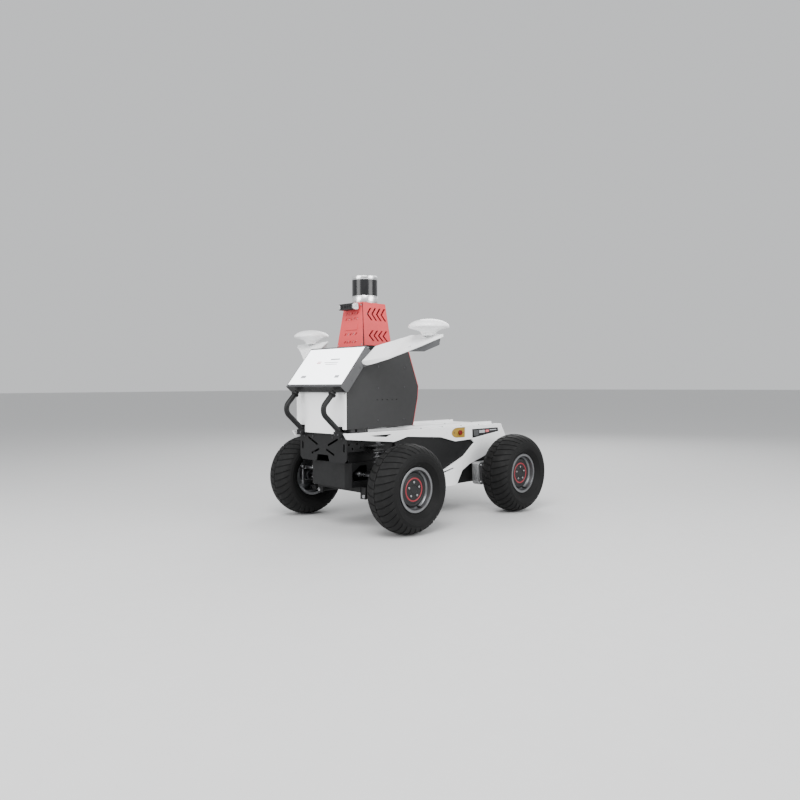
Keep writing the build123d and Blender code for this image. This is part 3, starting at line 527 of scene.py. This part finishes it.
def skin_lift(section_angle):
    """How far the skin stands out: sunk between the lugs, full on the side walls, with two moulded rings."""
    degrees = abs(math.degrees(section_angle))
    fade = max(0.0, min(1.0, (degrees - 64) / 12))
    rings = sum(SIDE_RING_HEIGHT * math.exp(-((degrees - at) / width) ** 2) for at, width in SIDE_RINGS)
    return LUG_HEIGHT * fade * fade * (3 - 2 * fade) * 0.8 + rings


def add_lug(shape, centre, side, start_angle, hand, steps=9):
    """One curved lug, from beside the tread's centre line, over the shoulder, to the side wall."""
    rows = []
    for step in range(steps + 1):
        along = step / steps
        section = hand * math.radians(1.5 + 73 * along)
        middle = start_angle + 0.20 * along ** 1.5
        half = 0.074 + 0.006 * along
        height = LUG_HEIGHT * (1 - 0.35 * max(0.0, along - 0.75) / 0.25)
        edges = ((-1.0, -1.5 * MM), (-0.95, height * 0.7), (-0.87, height))
        row = []
        for place, lift in edges + tuple((-place, lift) for place, lift in reversed(edges)):
            radius, offset = carcass_point(section, lift)
            row.append(shape.verts.new(wheel_point(centre, side, radius, offset, middle + place * half)))
        rows.append(row)
    for low, high in zip(rows, rows[1:]):
        for i in range(len(low)):
            j = (i + 1) % len(low)
            shape.faces.new((low[i], low[j], high[j], high[i]))
    shape.faces.new(rows[0])
    shape.faces.new(reversed(rows[-1]))


def make_tyre(end, side_name, side):
    """A balloon tyre with curved shoulder lugs in two staggered rows."""
    name = f"tyre_{end}_{side_name}"
    centre = middle_of(name)
    profile = in_mm([(76.2, -40), (76.2, -44.5), (83.6, -44.7)])
    for step in range(-59, 60):
        section = math.radians(step * 2.1)
        profile.append(carcass_point(section, skin_lift(section)))
    profile += in_mm([
        (83.6, 44.7), (76.2, 44.5), (76.2, 40), (100, 52), (150, 30), (150, -30), (100, -52),
    ])
    shape = bmesh.new()
    lathe(shape, centre, outward(side), profile, 144, closed=True)
    for row, hand in enumerate((-1, 1)):
        for lug in range(LUG_COUNT):
            add_lug(shape, centre, side, 2 * math.pi * (lug + 0.5 * row) / LUG_COUNT, hand)
    piece_from(shape, f"{name}_skin", "tyre", f"wheel_{end}_{side_name}", [name])
    valve = bmesh.new()
    place = wheel_point(centre, side, 68 * MM, 40 * MM, math.radians(250))
    stem = [(0, -12), (3.4, -12), (3.0, 2), (2.4, 3), (2.4, 9), (0, 9.6)]
    lathe(valve, place, outward(side), in_mm(stem), 12)
    piece_from(valve, f"{name}_valve", "black", f"wheel_{end}_{side_name}")


def make_rim(end, side_name, side):
    """The rim: rolled lips, a stepped barrel, and a hub disc with a red ring and five bolts."""
    name = f"wheel_{end}_{side_name}"
    centre = middle_of(f"tyre_{end}_{side_name}")
    way = outward(side)
    barrel = [
        (76, -44.9), (82.6, -45.2), (83, -46), (83, -48.2), (82.2, -49), (72.4, -49), (72, -48.4), (72, -32),
        (66, -28), (66, 17), (22, 17.4), (22, -29.4), (21.4, -30), (12.2, -30), (12.2, 16), (60.8, 16.2),
        (66, 22), (66, 27), (71.4, 31.5), (72, 33), (72, 46.2), (73, 48.6), (76, 48.9), (80.5, 49),
        (82.4, 48.4),
        (83, 46.8), (82.6, 45.4), (76, 44.9), (76, 32), (70, 28), (70, -28), (76, -32),
    ]
    shape = bmesh.new()
    lathe(shape, centre, way, in_mm(barrel), 112, closed=True)
    if end == "rear":
        shaft_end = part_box(name)[0][1] if side > 0 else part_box(name)[1][1]
        length = abs(shaft_end - centre.y)
        shaft = [(0, -length), (11.4, -length), (12, -length + 0.6 * MM)]
        profile = [(radius * MM, height) for radius, height in shaft]
        profile += in_mm([(12, -101), (20, -100), (20, -30), (0, -30)])
        lathe(shape, centre, way, profile, 48)
    piece_from(shape, f"{name}_barrel", "rim", name, [name])
    lip = bmesh.new()
    ring = [(74, 48.2), (76.5, 48.95), (80.4, 49.05), (82.5, 48.3), (82.9, 46.6), (81.5, 47.4), (77, 48.0)]
    lathe(lip, centre, way, in_mm(ring), 112, closed=True)
    piece_from(lip, f"{name}_lip", "lip", name)
    disc = bmesh.new()
    face = [
        (0, 16.1), (61, 16.3), (61, 30.8), (60.2, 32), (58.6, 32.5), (54, 32.6), (52.6, 31.6), (50.6, 31.6),
        (49.4, 32.4), (46.5, 32.6), (18, 32.6), (17, 31.4), (15.5, 31.4), (14.5, 32.4), (0, 32.6),
    ]
    lathe(disc, centre, way, in_mm(face), 112)
    piece_from(disc, f"{name}_hub_disc", "hub", name)
    mark = bmesh.new()
    ring = [(38.5, 32.4), (38.5, 33.2), (39.2, 33.7), (42.8, 33.7), (43.5, 33.2), (43.5, 32.4)]
    lathe(mark, centre, way, in_mm(ring), 112, closed=True)
    piece_from(mark, f"{name}_ring_mark", "hub_red", name)
    bolts = bmesh.new()
    for index in range(5):
        angle = 2 * math.pi * index / 5 + math.pi / 2
        add_screw(bolts, wheel_point(centre, side, 27 * MM, 32.5 * MM, angle), way, 4.4 * MM, 3.4 * MM)
    piece_from(bolts, f"{name}_hub_bolts", "steel", name)


for end in ENDS:
    for side_name, side in SIDES:
        make_tyre(end, side_name, side)
        make_rim(end, side_name, side)


# Front suspension

FRONT_AXLE_X = 284
KINGPIN_Y = 236
ARM_PIVOT_Y = 135
ARM_PIVOTS = {"lower": (125, 221, 347), "upper": (205, 212, 304)}
TIE_ROD_X = 360
TIE_ROD_Z = 210
TIE_ROD_START_Y = 150
RACK_BOOT_Y = 52
SPRING_TURNS = 7.6
SPRING_WIRE = 3.3 * MM
SPRING_RADIUS = 17 * MM
SPRING_CLOSED_TURNS = 0.8


def spring_rise(turn):
    """How far up a coil spring is after some turns, as a share of its height; its end coils are closed."""
    slow = 2 * SPRING_WIRE * 0.8 / (128 * MM)
    if turn < SPRING_CLOSED_TURNS:
        return slow * turn / SPRING_CLOSED_TURNS
    if turn > SPRING_TURNS - SPRING_CLOSED_TURNS:
        return 1 - slow * (SPRING_TURNS - turn) / SPRING_CLOSED_TURNS
    middle_turns = SPRING_TURNS - 2 * SPRING_CLOSED_TURNS
    return slow + (1 - 2 * slow) * (turn - SPRING_CLOSED_TURNS) / middle_turns


def make_spring(side_name):
    """A coil spring with closed ends, between the damper's seats."""
    name = f"coil_spring_{side_name}"
    low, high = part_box(name)
    centre = middle_of(name)
    low_z, high_z = low[2] + SPRING_WIRE, high[2] - SPRING_WIRE
    points = []
    count = 260
    for step in range(count + 1):
        turn = SPRING_TURNS * step / count
        angle = 2 * math.pi * turn
        height = low_z + (high_z - low_z) * spring_rise(turn)
        points.append(Vector((
            centre.x + SPRING_RADIUS * math.cos(angle),
            centre.y + SPRING_RADIUS * math.sin(angle),
            height,
        )))
    shape = bmesh.new()
    add_tube(shape, points, SPRING_WIRE)
    piece = piece_from(shape, f"{name}_coil", "spring", "chassis", [name], smooth_angle=60)
    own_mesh(piece)


def make_damper_trim(side_name):
    """The damper's top nut, and the two lock rings below it."""
    centre = middle_of(f"coil_spring_{side_name}")
    tower_top = 320 * MM
    nut = bmesh.new()
    lathe(nut, Vector((centre.x, centre.y, tower_top)), UP, in_mm([(0, 0), (14, 0), (14, 2), (9.5, 2)]), 32)
    hexagon = [(9.5, 0), (9.5, 8), (8.3, 9), (0, 9)]
    lathe(nut, Vector((centre.x, centre.y, tower_top + 2 * MM)), UP, in_mm(hexagon), 6)
    piece_from(nut, f"damper_top_nut_{side_name}", "dark_steel", "chassis", smooth_angle=20)
    ring = bmesh.new()
    base = Vector((centre.x, centre.y, 0))
    for height in (288, 281):
        profile = [(12.2, height), (13.6, height), (13.6, height + 5), (12.2, height + 5)]
        lathe(ring, base, UP, in_mm(profile), 32, closed=True)
    piece_from(ring, f"damper_lock_rings_{side_name}", "dark_steel", "chassis")


def make_arm_bolts(side_name, side):
    """Bolt heads on the ends of both wishbones' inner and outer pivot pins."""
    shape = bmesh.new()
    for pivot_z, low_x, high_x in ARM_PIVOTS.values():
        for x, way in ((low_x, -1), (high_x, 1)):
            add_screw(shape, mm(x, side * ARM_PIVOT_Y, pivot_z), FORWARD * way, 7.5 * MM, 4.5 * MM)
    piece_from(shape, f"arm_pivot_bolts_{side_name}", "steel", "chassis")
    for arm, pivot in ARM_PIVOTS.items():
        outer = bmesh.new()
        for way in (-1, 1):
            place = mm(FRONT_AXLE_X + way * 20, side * KINGPIN_Y, pivot[0])
            add_screw(outer, place, FORWARD * way, 7.0 * MM, 4.0 * MM)
        piece_from(outer, f"upright_bolts_{arm}_{side_name}", "steel", f"upright_{side_name}")


def make_tie_rod_trim(side_name, side):
    """A lock nut and a collar on the tie rod, and the bellows over the rack's end."""
    start = mm(TIE_ROD_X, side * TIE_ROD_START_Y, TIE_ROD_Z)
    shape = bmesh.new()
    lathe(shape, start, outward(side), in_mm([(4.6, 0), (8, 0), (8, 7), (4.6, 7)]), 6, closed=True)
    collar = [(6, 0), (8.4, 1), (8.4, 9), (6, 10)]
    lathe(shape, start + outward(side) * 54 * MM, outward(side), in_mm(collar), 24)
    piece_from(shape, f"tie_rod_nuts_{side_name}", "chrome", f"tie_rod_{side_name}", smooth_angle=25)
    boot = bmesh.new()
    folds = []
    for fold in range(5):
        folds += [(8.6, 6 + fold * 5), (11.5, 8.5 + fold * 5)]
    profile = [(7.4, 4), *folds, (8.0, 32), (7.4, 32)]
    origin = mm(TIE_ROD_X, side * RACK_BOOT_Y, TIE_ROD_Z)
    lathe(boot, origin, outward(side), in_mm(profile), 28, closed=True)
    piece_from(boot, f"rack_boot_{side_name}", "black", "chassis")


for side_name, side in SIDES:
    make_spring(side_name)
    make_damper_trim(side_name)
    make_arm_bolts(side_name, side)
    make_tie_rod_trim(side_name, side)


# Body details


CASE_SCREWS = ((284.5, 612), (143, 610), (285, 530), (146, 534), (287, 409), (148.5, 408))
CASE_VENT_XS = (291.5, 265, 239, 213, 188)
CASE_VENT_Z = 487
BUMPER_SCREW_YS = (60, 112)
BUMPER_SCREW_Z = 348
DECK_SCREW_XS = (-430, -330, -210, -90, 40)
DECK_SCREW_Y = 138
RAIL_SCREW_XS = (-424, -310, -130, 60)
RAIL_SCREW_Y = 115.5
HOUSING_SCREWS = ((430, 560), (392, 606), (352, 655))
GUARD_Y = 113
GUARD_FOOT_X = 461
GUARD_FOOT_Z = 362
GUARD_TOP = (471, 518)
GUARD_BEND = (533.8, 452)
SOCKET_Y = -55
SOCKET_Z = 290


def make_screws():
    """Every visible screw head on the fixed body, in place of the plain CAD heads."""
    shape = bmesh.new()
    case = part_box("case_sides")
    for _, side in SIDES:
        face_y = case[1][1] * side
        for x, z in CASE_SCREWS:
            add_screw(shape, Vector((x * MM, face_y, z * MM)), outward(side), 4.2 * MM, 1.8 * MM)
        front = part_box("bumper_plate")[1][0]
        for y in BUMPER_SCREW_YS:
            add_screw(shape, Vector((front, side * y * MM, BUMPER_SCREW_Z * MM)), FORWARD, 4.5 * MM, 2.6 * MM)
        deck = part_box("deck_plate")[1][2]
        for x in DECK_SCREW_XS:
            add_screw(shape, Vector((x * MM, side * DECK_SCREW_Y * MM, deck)), UP, 3.6 * MM, 2.0 * MM)
        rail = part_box("deck_rails")[1][2]
        for x in RAIL_SCREW_XS:
            add_screw(shape, Vector((x * MM, side * RAIL_SCREW_Y * MM, rail)), UP, 4.0 * MM, 1.4 * MM)
        housing_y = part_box("screen_housing")[1][1] * side
        for x, z in HOUSING_SCREWS:
            add_screw(shape, Vector((x * MM, housing_y, z * MM)), outward(side), 2.6 * MM, 1.0 * MM)
    piece_from(shape, "body_screws", "dark_steel", "chassis", ["fasteners"])


def make_case_marks():
    """Black bushes in the row of five vent holes on each case side."""
    shape = bmesh.new()
    face_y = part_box("case_sides")[1][1]
    for _, side in SIDES:
        for x in CASE_VENT_XS:
            place = Vector((x * MM, side * face_y, CASE_VENT_Z * MM))
            ring = [(1.5, -0.6), (1.9, 0.1), (2.3, 0.5), (2.8, 0.4), (3.0, 0.1), (1.95, -1.2)]
            lathe(shape, place, outward(side), in_mm(ring), 18, closed=True)
    piece_from(shape, "case_vent_bushes", "black", "chassis")


LABEL_OUTLINE = ((239.0, 16.0), (59.5, 16.2), (53.0, 33.0), (237.0, 54.5))
LABEL_MATERIALS = ["gloss_black", "mark_grey", "plate_grey", "mark_red"]
LABEL_MARKS = (
    (228.0, 196.0, 21.0, 46.0, 2), (190.0, 152.0, 23.0, 35.0, 1), (146.0, 124.0, 23.0, 33.0, 3),
    (118.0, 70.0, 23.0, 27.0, 1),
)


def make_label(side_name, side):
    """A black wedge-shaped plate near the skirt's tail, with plain blocks in place of lettering."""
    low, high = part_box("side_skirts")
    face_y = high[1] * side

    def at(ahead, below):
        return Vector((low[0] + ahead * MM, face_y, high[2] - below * MM))

    shape = bmesh.new()
    outline = [at(ahead, below) for ahead, below in LABEL_OUTLINE]
    add_plate(shape, outline, outward(side) * 0.5 * MM, 0)
    lift = outward(side) * 0.5 * MM
    for front, back, top, bottom, material in LABEL_MARKS:
        corners = [at(front, top), at(back, top), at(back, bottom), at(front, bottom)]
        add_plate(shape, [corner + lift for corner in corners], outward(side) * 0.25 * MM, material)
    piece_from(shape, f"skirt_label_{side_name}", LABEL_MATERIALS, "chassis")


def make_stop_trim(side_name, side):
    """A thin collar round the stop button, and the bezel's two screws."""
    centre = middle_of(f"stop_button_{side_name}")
    face_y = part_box("stop_bezels")[1][1] * side
    shape = bmesh.new()
    ring = [(10.7, -1.0), (10.7, 1.2), (11.5, 1.8), (13.8, 1.4), (14.6, 0), (14.6, -1.0)]
    lathe(shape, Vector((centre.x, face_y, centre.z)), outward(side), in_mm(ring), 40, closed=True)
    piece_from(shape, f"stop_collar_{side_name}", "yellow", "chassis")
    screws = bmesh.new()
    for shift in (-25, 34):
        place = Vector((centre.x + shift * MM, face_y, centre.z))
        add_screw(screws, place, outward(side), 2.8 * MM, 1.4 * MM)
    piece_from(screws, f"stop_bezel_screws_{side_name}", "dark_steel", "chassis")


def make_gearbox_trim(side_name, side):
    """Cooling ribs and cover bolts on the front and the outside of each gear case."""
    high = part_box("gearboxes")[1]
    outer = high[1] * side
    inner = outer - side * 36 * MM
    shape = bmesh.new()
    for rib in range(4):
        y = inner + side * (4 + rib * 9) * MM
        y_low, y_high = sorted((y, y + side * 3 * MM))
        rib_low = Vector((high[0] - 6 * MM, y_low, 128 * MM))
        rib_high = Vector((high[0] + 3.5 * MM, y_high, 196 * MM))
        add_block(shape, rib_low, rib_high)
    for x, z in ((-268, 196), (-268, 124), (-318, 198), (-318, 122)):
        add_screw(shape, Vector((x * MM, outer, z * MM)), outward(side), 5 * MM, 4 * MM)
    piece = piece_from(shape, f"gearbox_ribs_{side_name}", "cast", "chassis")
    bevelled(piece, 0.8 * MM)


def make_guard_clamps(side_name, side):
    """The bolts of a guard tube's foot, and the collar where the tube meets the screen housing."""
    shape = bmesh.new()
    for shift in (-9, 9):
        place = mm(GUARD_FOOT_X, side * (GUARD_Y + shift), GUARD_FOOT_Z)
        add_screw(shape, place, FORWARD, 4 * MM, 2.6 * MM)
    piece_from(shape, f"guard_foot_bolts_{side_name}", "dark_steel", "chassis")
    collar = bmesh.new()
    top = mm(GUARD_TOP[0], side * GUARD_Y, GUARD_TOP[1])
    way = (top - mm(GUARD_BEND[0], side * GUARD_Y, GUARD_BEND[1])).normalized()
    origin = top - way * 16 * MM
    profile = [(10.1, 0), (14.5, 1), (15.0, 3), (15.0, 7), (14.0, 8), (10.1, 8)]
    lathe(collar, origin, way, in_mm(profile), 36, closed=True)
    piece_from(collar, f"guard_collar_{side_name}", "charcoal", "chassis")


make_screws()
make_case_marks()
for side_name, side in SIDES:
    make_label(side_name, side)
    make_stop_trim(side_name, side)
    make_gearbox_trim(side_name, side)
    make_guard_clamps(side_name, side)


def make_rear_trim():
    """The rear panel's socket pins and ring, switch frame, louvres and screws."""
    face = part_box("chassis_tub")[0][0] - 3.2 * MM
    backward = -FORWARD
    socket = bmesh.new()
    centre = Vector((face - 5.8 * MM, SOCKET_Y * MM, SOCKET_Z * MM))
    for y, z in ((-5, 3), (5, 3), (0, -5)):
        pin = [(0, -1), (1.8, -1), (1.8, 3.2), (1.1, 4), (0, 4)]
        lathe(socket, centre + mm(5, y, z), backward, in_mm(pin), 12)
    piece_from(socket, "charge_socket_pins", "chrome", "chassis")
    nut = bmesh.new()
    ring = [(17.2, 0), (21, 0), (21, 3), (17.2, 3.6)]
    lathe(nut, Vector((face, SOCKET_Y * MM, SOCKET_Z * MM)), backward, in_mm(ring), 48, closed=True)
    for y, z in ((-88, 216), (88, 216), (-138, 350), (138, 350), (-138, 212), (138, 212)):
        add_screw(nut, Vector((face, y * MM, z * MM)), backward, 4 * MM, 2.2 * MM)
    piece_from(nut, "rear_panel_screws", "steel", "chassis")
    frame_ring = bmesh.new()
    frame_low, frame_high = (41, 272), (69, 308)
    hole_low, hole_high = (45, 276), (65, 304)
    bars = (
        (frame_low, (hole_low[0], frame_high[1])),
        ((hole_high[0], frame_low[1]), frame_high),
        ((hole_low[0], frame_low[1]), (hole_high[0], hole_low[1])),
        ((hole_low[0], hole_high[1]), (hole_high[0], frame_high[1])),
    )
    for (y0, z0), (y1, z1) in bars:
        bar_low = Vector((face - 1.8 * MM, y0 * MM, z0 * MM))
        bar_high = Vector((face + 0.4 * MM, y1 * MM, z1 * MM))
        add_block(frame_ring, bar_low, bar_high)
    bevelled(piece_from(frame_ring, "switch_frame", "black", "chassis"), 0.5 * MM)
    louvres = bmesh.new()
    for row in range(5):
        z = (228 + row * 8) * MM
        outline = [
            Vector((face + 0.2 * MM, -52 * MM, z)), Vector((face - 3.0 * MM, -52 * MM, z + 1.2 * MM)),
            Vector((face + 0.2 * MM, -52 * MM, z + 5.6 * MM)),
        ]
        add_plate(louvres, outline, Vector((0, 104 * MM, 0)))
    piece_from(louvres, "rear_louvres", "charcoal", "chassis", smooth_angle=20)


make_rear_trim()


# Screen, sensors and tower

SCREEN_SLOPE = math.radians(50.7)
GLASS_THICKNESS = 2.4 * MM
GLASS_LENGTH = 171.9
ANTENNA_DOME_HEIGHT = 28
SCREEN_MARKS = (
    (-62.0, -8.0, 118.0, 124.0, 0), (-62.0, 20.0, 104.0, 107.0, 0), (-62.0, 6.0, 95.0, 98.0, 0),
    (40.0, 64.0, 108.0, 111.5, 1), (40.0, 64.0, 101.0, 104.5, 1),
    (78.0, 108.0, 30.0, 42.0, 0), (-120.0, -96.0, 30.0, 42.0, 0),
)


def make_screen():
    """The display's white face, its plain marks, and the dark lip below it."""
    low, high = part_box("screen_glass")
    run, rise = math.cos(SCREEN_SLOPE), math.sin(SCREEN_SLOPE)
    lower = Vector((high[0], 0, low[2] + GLASS_THICKNESS * run))
    along = Vector((-run, 0, rise))
    out = Vector((rise, 0, run))

    def at(y, up, lift=0.0):
        return lower + Vector((0, y * MM, 0)) + along * up * MM + out * lift * MM

    face = bmesh.new()
    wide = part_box("screen_housing")[1][1] / MM - 4.5
    top = GLASS_LENGTH + 5
    corners = [at(-wide, -0.5), at(wide, -0.5), at(wide, top), at(-wide, top)]
    add_plate(face, corners, out * 0.6 * MM)
    bevelled(piece_from(face, "screen_face", "screen", "chassis"), 0.3 * MM)
    marks = bmesh.new()
    for y0, y1, up0, up1, material in SCREEN_MARKS:
        corners = [at(-y0, up0, 0.6), at(-y1, up0, 0.6), at(-y1, up1, 0.6), at(-y0, up1, 0.6)]
        add_plate(marks, corners, out * 0.2 * MM, material)
    piece_from(marks, "screen_marks", ["mark_grey", "mark_red"], "chassis")
    lip = bmesh.new()
    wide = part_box("screen_housing")[1][1] / MM - 1.2
    corners = [at(-wide, -11.5, -0.1), at(wide, -11.5, -0.1), at(wide, -0.8, -0.1), at(-wide, -0.8, -0.1)]
    add_plate(lip, corners, out * 0.5 * MM)
    corners = [at(-wide, -12.3, -0.6), at(wide, -12.3, -0.6), at(wide, -12.3, -30), at(-wide, -12.3, -30)]
    add_plate(lip, corners, along * 0.5 * MM)
    piece_from(lip, "screen_lower_lip", "charcoal", "chassis")


def make_antennas():
    """Two smooth mushroom antennas, each with a seam groove and a tapered neck."""
    low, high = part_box("antennas")
    radius = (high[0] - low[0]) / 2 / MM
    middle_x = (low[0] + high[0]) / 2
    centre_y = high[1] - radius * MM
    top = high[2] / MM
    profile = [(0, top)]
    last_drop = 1 - math.cos(math.radians(84))
    for step in range(1, 13):
        angle = math.radians(step * 7.0)
        drop = ANTENNA_DOME_HEIGHT * (1 - math.cos(angle)) / last_drop
        profile.append((radius * math.sin(angle) * 1.003, top - drop))
    rim_z = top - ANTENNA_DOME_HEIGHT
    profile += [
        (radius - 1.4, rim_z - 0.6), (radius - 1.4, rim_z - 2.6), (radius - 0.1, rim_z - 3.0),
        (radius - 1.0, rim_z - 3.8), (radius - 4.0, rim_z - 4.8), (60, rim_z - 8.4), (44, rim_z - 12.6),
        (34, rim_z - 17), (28.5, rim_z - 22), (26, rim_z - 28), (25.4, rim_z - 33), (0, rim_z - 33),
    ]
    shape = bmesh.new()
    for _, side in SIDES:
        lathe(shape, Vector((middle_x, side * centre_y, 0)), UP, in_mm(profile), 72)
    piece_from(shape, "antenna_domes", "white", "chassis", ["antennas"], smooth_angle=50)


def make_lidar_trim():
    """Dark rings as painted shade in the grooves of the lidar's base and cap, and its cable connector."""
    base = middle_of("lidar_cap")
    origin = Vector((base.x, base.y, 0))
    radius = (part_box("lidar_cap")[1][0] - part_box("lidar_cap")[0][0]) / 2 / MM
    # Dark rings standing slightly proud at the groove heights: painted shade for the grooves in the silver
    # base and cap.
    grooves = bmesh.new()
    for z in (870, 892, 963.5):
        ring = [(radius - 0.3, z), (radius + 0.1, z + 0.3), (radius + 0.1, z + 1.2), (radius - 0.3, z + 1.5)]
        lathe(grooves, origin, UP, in_mm(ring), 72, closed=True)
    piece_from(grooves, "lidar_grooves", "dark_steel", "chassis")
    gland = bmesh.new()
    start = Vector((base.x - radius * MM, 0, 880 * MM))
    profile = [(0, -2), (8, -2), (8, 6), (6.5, 7), (6.5, 12), (4.4, 14), (0, 14)]
    lathe(gland, start, -FORWARD, in_mm(profile), 24)
    piece_from(gland, "lidar_connector", "black", "chassis")


def make_depth_camera():
    """Bright end caps and four round windows on the stereo camera bar."""
    low, high = (Vector(corner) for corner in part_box("depth_camera"))
    middle_z = (low.z + high.z) / 2
    caps = bmesh.new()
    depth = 24 * MM
    for _, side in SIDES:
        outline = []
        for corner in range(4):
            centre_x = high.x - depth / 2 + (depth / 2 - 6 * MM) * (1 if corner in (0, 3) else -1)
            centre_z = middle_z + (12 * MM - 6 * MM) * (1 if corner < 2 else -1)
            for step in range(5):
                angle = math.radians(corner * 90 + step * 22.5)
                outline.append(Vector((
                    centre_x + 6.4 * MM * math.cos(angle),
                    side * (high.y - 9 * MM),
                    centre_z + 6.4 * MM * math.sin(angle),
                )))
        add_plate(caps, outline, outward(side) * 9.6 * MM)
    bevelled(piece_from(caps, "camera_end_caps", "silver", "chassis"), 0.8 * MM)
    lenses = bmesh.new()
    for y, radius in ((-27, 6.2), (27, 6.2), (-6, 4.2), (10, 3.2)):
        place = Vector((high.x, y * MM, middle_z))
        ring = [(0, 0.3), (radius * 0.7, 0.7), (radius * 0.82, 0.2), (radius * 0.86, 1.2), (radius, 1.2)]
        ring += [(radius, -0.5), (0, -0.5)]
        lathe(lenses, place, FORWARD, in_mm(ring), 32)
    piece_from(lenses, "camera_lenses", "gloss_black", "chassis")


def make_tower_trim():
    """The tower's raised front panel, dark tubes as painted shade in the slits at its front corners, foot
    flanges and rivets.
    """
    foot = mm(298, 0, 694)
    top = mm(280, 0, 866)
    up = (top - foot).normalized()
    out = Vector((up.z, 0, -up.x))

    def at(y, z):
        return foot + up * (z * MM - foot.z) / up.z + Vector((0, y * MM, 0))

    panel = bmesh.new()
    outline = []
    for centre_y, centre_z, start in ((30, 780, 0), (-30, 780, 90), (-32, 764, 180), (32, 764, 270)):
        for step in range(5):
            angle = math.radians(start + step * 22.5)
            outline.append(at(centre_y + 6 * math.cos(angle), centre_z + 6 * math.sin(angle)))
    add_plate(panel, outline, out * 2.2 * MM)
    bevelled(piece_from(panel, "tower_front_panel", "red", "chassis"), 1.4 * MM, 3)
    # Dark tubes along the tower's front corners: painted shade for the shaded slits where the front and side
    # sheets meet.
    slit_shade = bmesh.new()
    for side in (-1, 1):
        add_tube(slit_shade, [mm(291, side * 73, 693), mm(277.5, side * 50.3, 862)], 3.4 * MM)
    piece_from(slit_shade, "tower_corner_slit_shade", "charcoal", "chassis")
    rivets = bmesh.new()
    for side in (-1, 1):
        for z, y in ((700, 70), (855, 48)):
            add_screw(rivets, at(side * y, z), out, 3 * MM, 1.6 * MM)
        for x in (160, 275):
            add_screw(rivets, mm(x, side * 83, 688), outward(side), 3.4 * MM, 1.8 * MM)
    piece_from(rivets, "tower_rivets", "steel", "chassis")
    flange = bmesh.new()
    for side in (-1, 1):
        y_low, y_high = sorted((side * 80 * MM, side * 92 * MM))
        add_block(flange, Vector((150 * MM, y_low, 673.5 * MM)), Vector((288 * MM, y_high, 677 * MM)))
        y_low, y_high = sorted((side * 80 * MM, side * 83 * MM))
        add_block(flange, Vector((148 * MM, y_low, 677 * MM)), Vector((291 * MM, y_high, 697 * MM)))
    bevelled(piece_from(flange, "tower_foot_flanges", "charcoal", "chassis"), 0.8 * MM)


make_screen()
make_antennas()
make_lidar_trim()
make_depth_camera()
make_tower_trim()


# Camera, light and floor

CAMERA_PLACE = Vector((2.0576, 2.0695, 0.5433))
CAMERA_AZIMUTH = math.radians(135.107)
CAMERA_ELEVATION = math.radians(0.83)
CAMERA_ROLL = math.radians(-0.24)


def make_camera():
    """The camera, looking at the robot's front left from just above its deck."""
    data = bpy.data.cameras.new("camera")
    data.sensor_width = 36.0
    data.lens = 31.01
    data.shift_x = -0.0056
    data.shift_y = -0.0065
    camera = bpy.data.objects.new("camera", data)
    bpy.context.scene.collection.objects.link(camera)
    level = math.cos(CAMERA_ELEVATION)
    back = Vector(
        (math.sin(CAMERA_AZIMUTH) * level, -math.cos(CAMERA_AZIMUTH) * level, math.sin(CAMERA_ELEVATION))
    )
    right = UP.cross(back).normalized()
    up = back.cross(right)
    tilted_right = right * math.cos(CAMERA_ROLL) + up * math.sin(CAMERA_ROLL)
    tilted_up = back.cross(tilted_right)
    turn = Matrix((tilted_right, tilted_up, back)).transposed()
    camera.matrix_world = Matrix.Translation(CAMERA_PLACE) @ turn.to_4x4()
    bpy.context.scene.camera = camera


def make_light(name, place, target, size, power):
    """One soft square light, turned towards a point."""
    data = bpy.data.lights.new(name, "AREA")
    data.size = size
    data.energy = power
    light = bpy.data.objects.new(name, data)
    bpy.context.scene.collection.objects.link(light)
    light.location = place
    way = Vector(target) - Vector(place)
    light.rotation_euler = way.to_track_quat("-Z", "Y").to_euler()


def make_stage():
    """A wide pale floor, four soft lights and a plain pale surround."""
    floor_mesh = bpy.data.meshes.new("floor")
    floor = bpy.data.objects.new("floor", floor_mesh)
    bpy.context.scene.collection.objects.link(floor)
    shape = bmesh.new()
    bmesh.ops.create_grid(shape, x_segments=2, y_segments=2, size=60)
    shape.to_mesh(floor_mesh)
    shape.free()
    floor_mesh.materials.append(coated("pale_floor", (0.60, 0.60, 0.60), 0.65, 300.0, 0.0001, 0.008))
    make_light("key_light", (2.2, 1.6, 3.2), (0, 0, 0.35), 2.2, 170)
    make_light("side_light", (-0.6, 3.6, 1.6), (0, 0, 0.4), 2.4, 110)
    make_light("front_light", (3.6, -0.6, 1.5), (0.2, 0, 0.4), 2.0, 80)
    make_light("back_light", (-3.0, -1.6, 2.8), (0, 0, 0.4), 2.4, 80)
    world = bpy.data.worlds.new("surround")
    world.use_nodes = True
    world.node_tree.nodes["Background"].inputs["Color"].default_value = (0.93, 0.945, 0.96, 1)
    world.node_tree.nodes["Background"].inputs["Strength"].default_value = 0.8
    bpy.context.scene.world = world


make_camera()
make_stage()
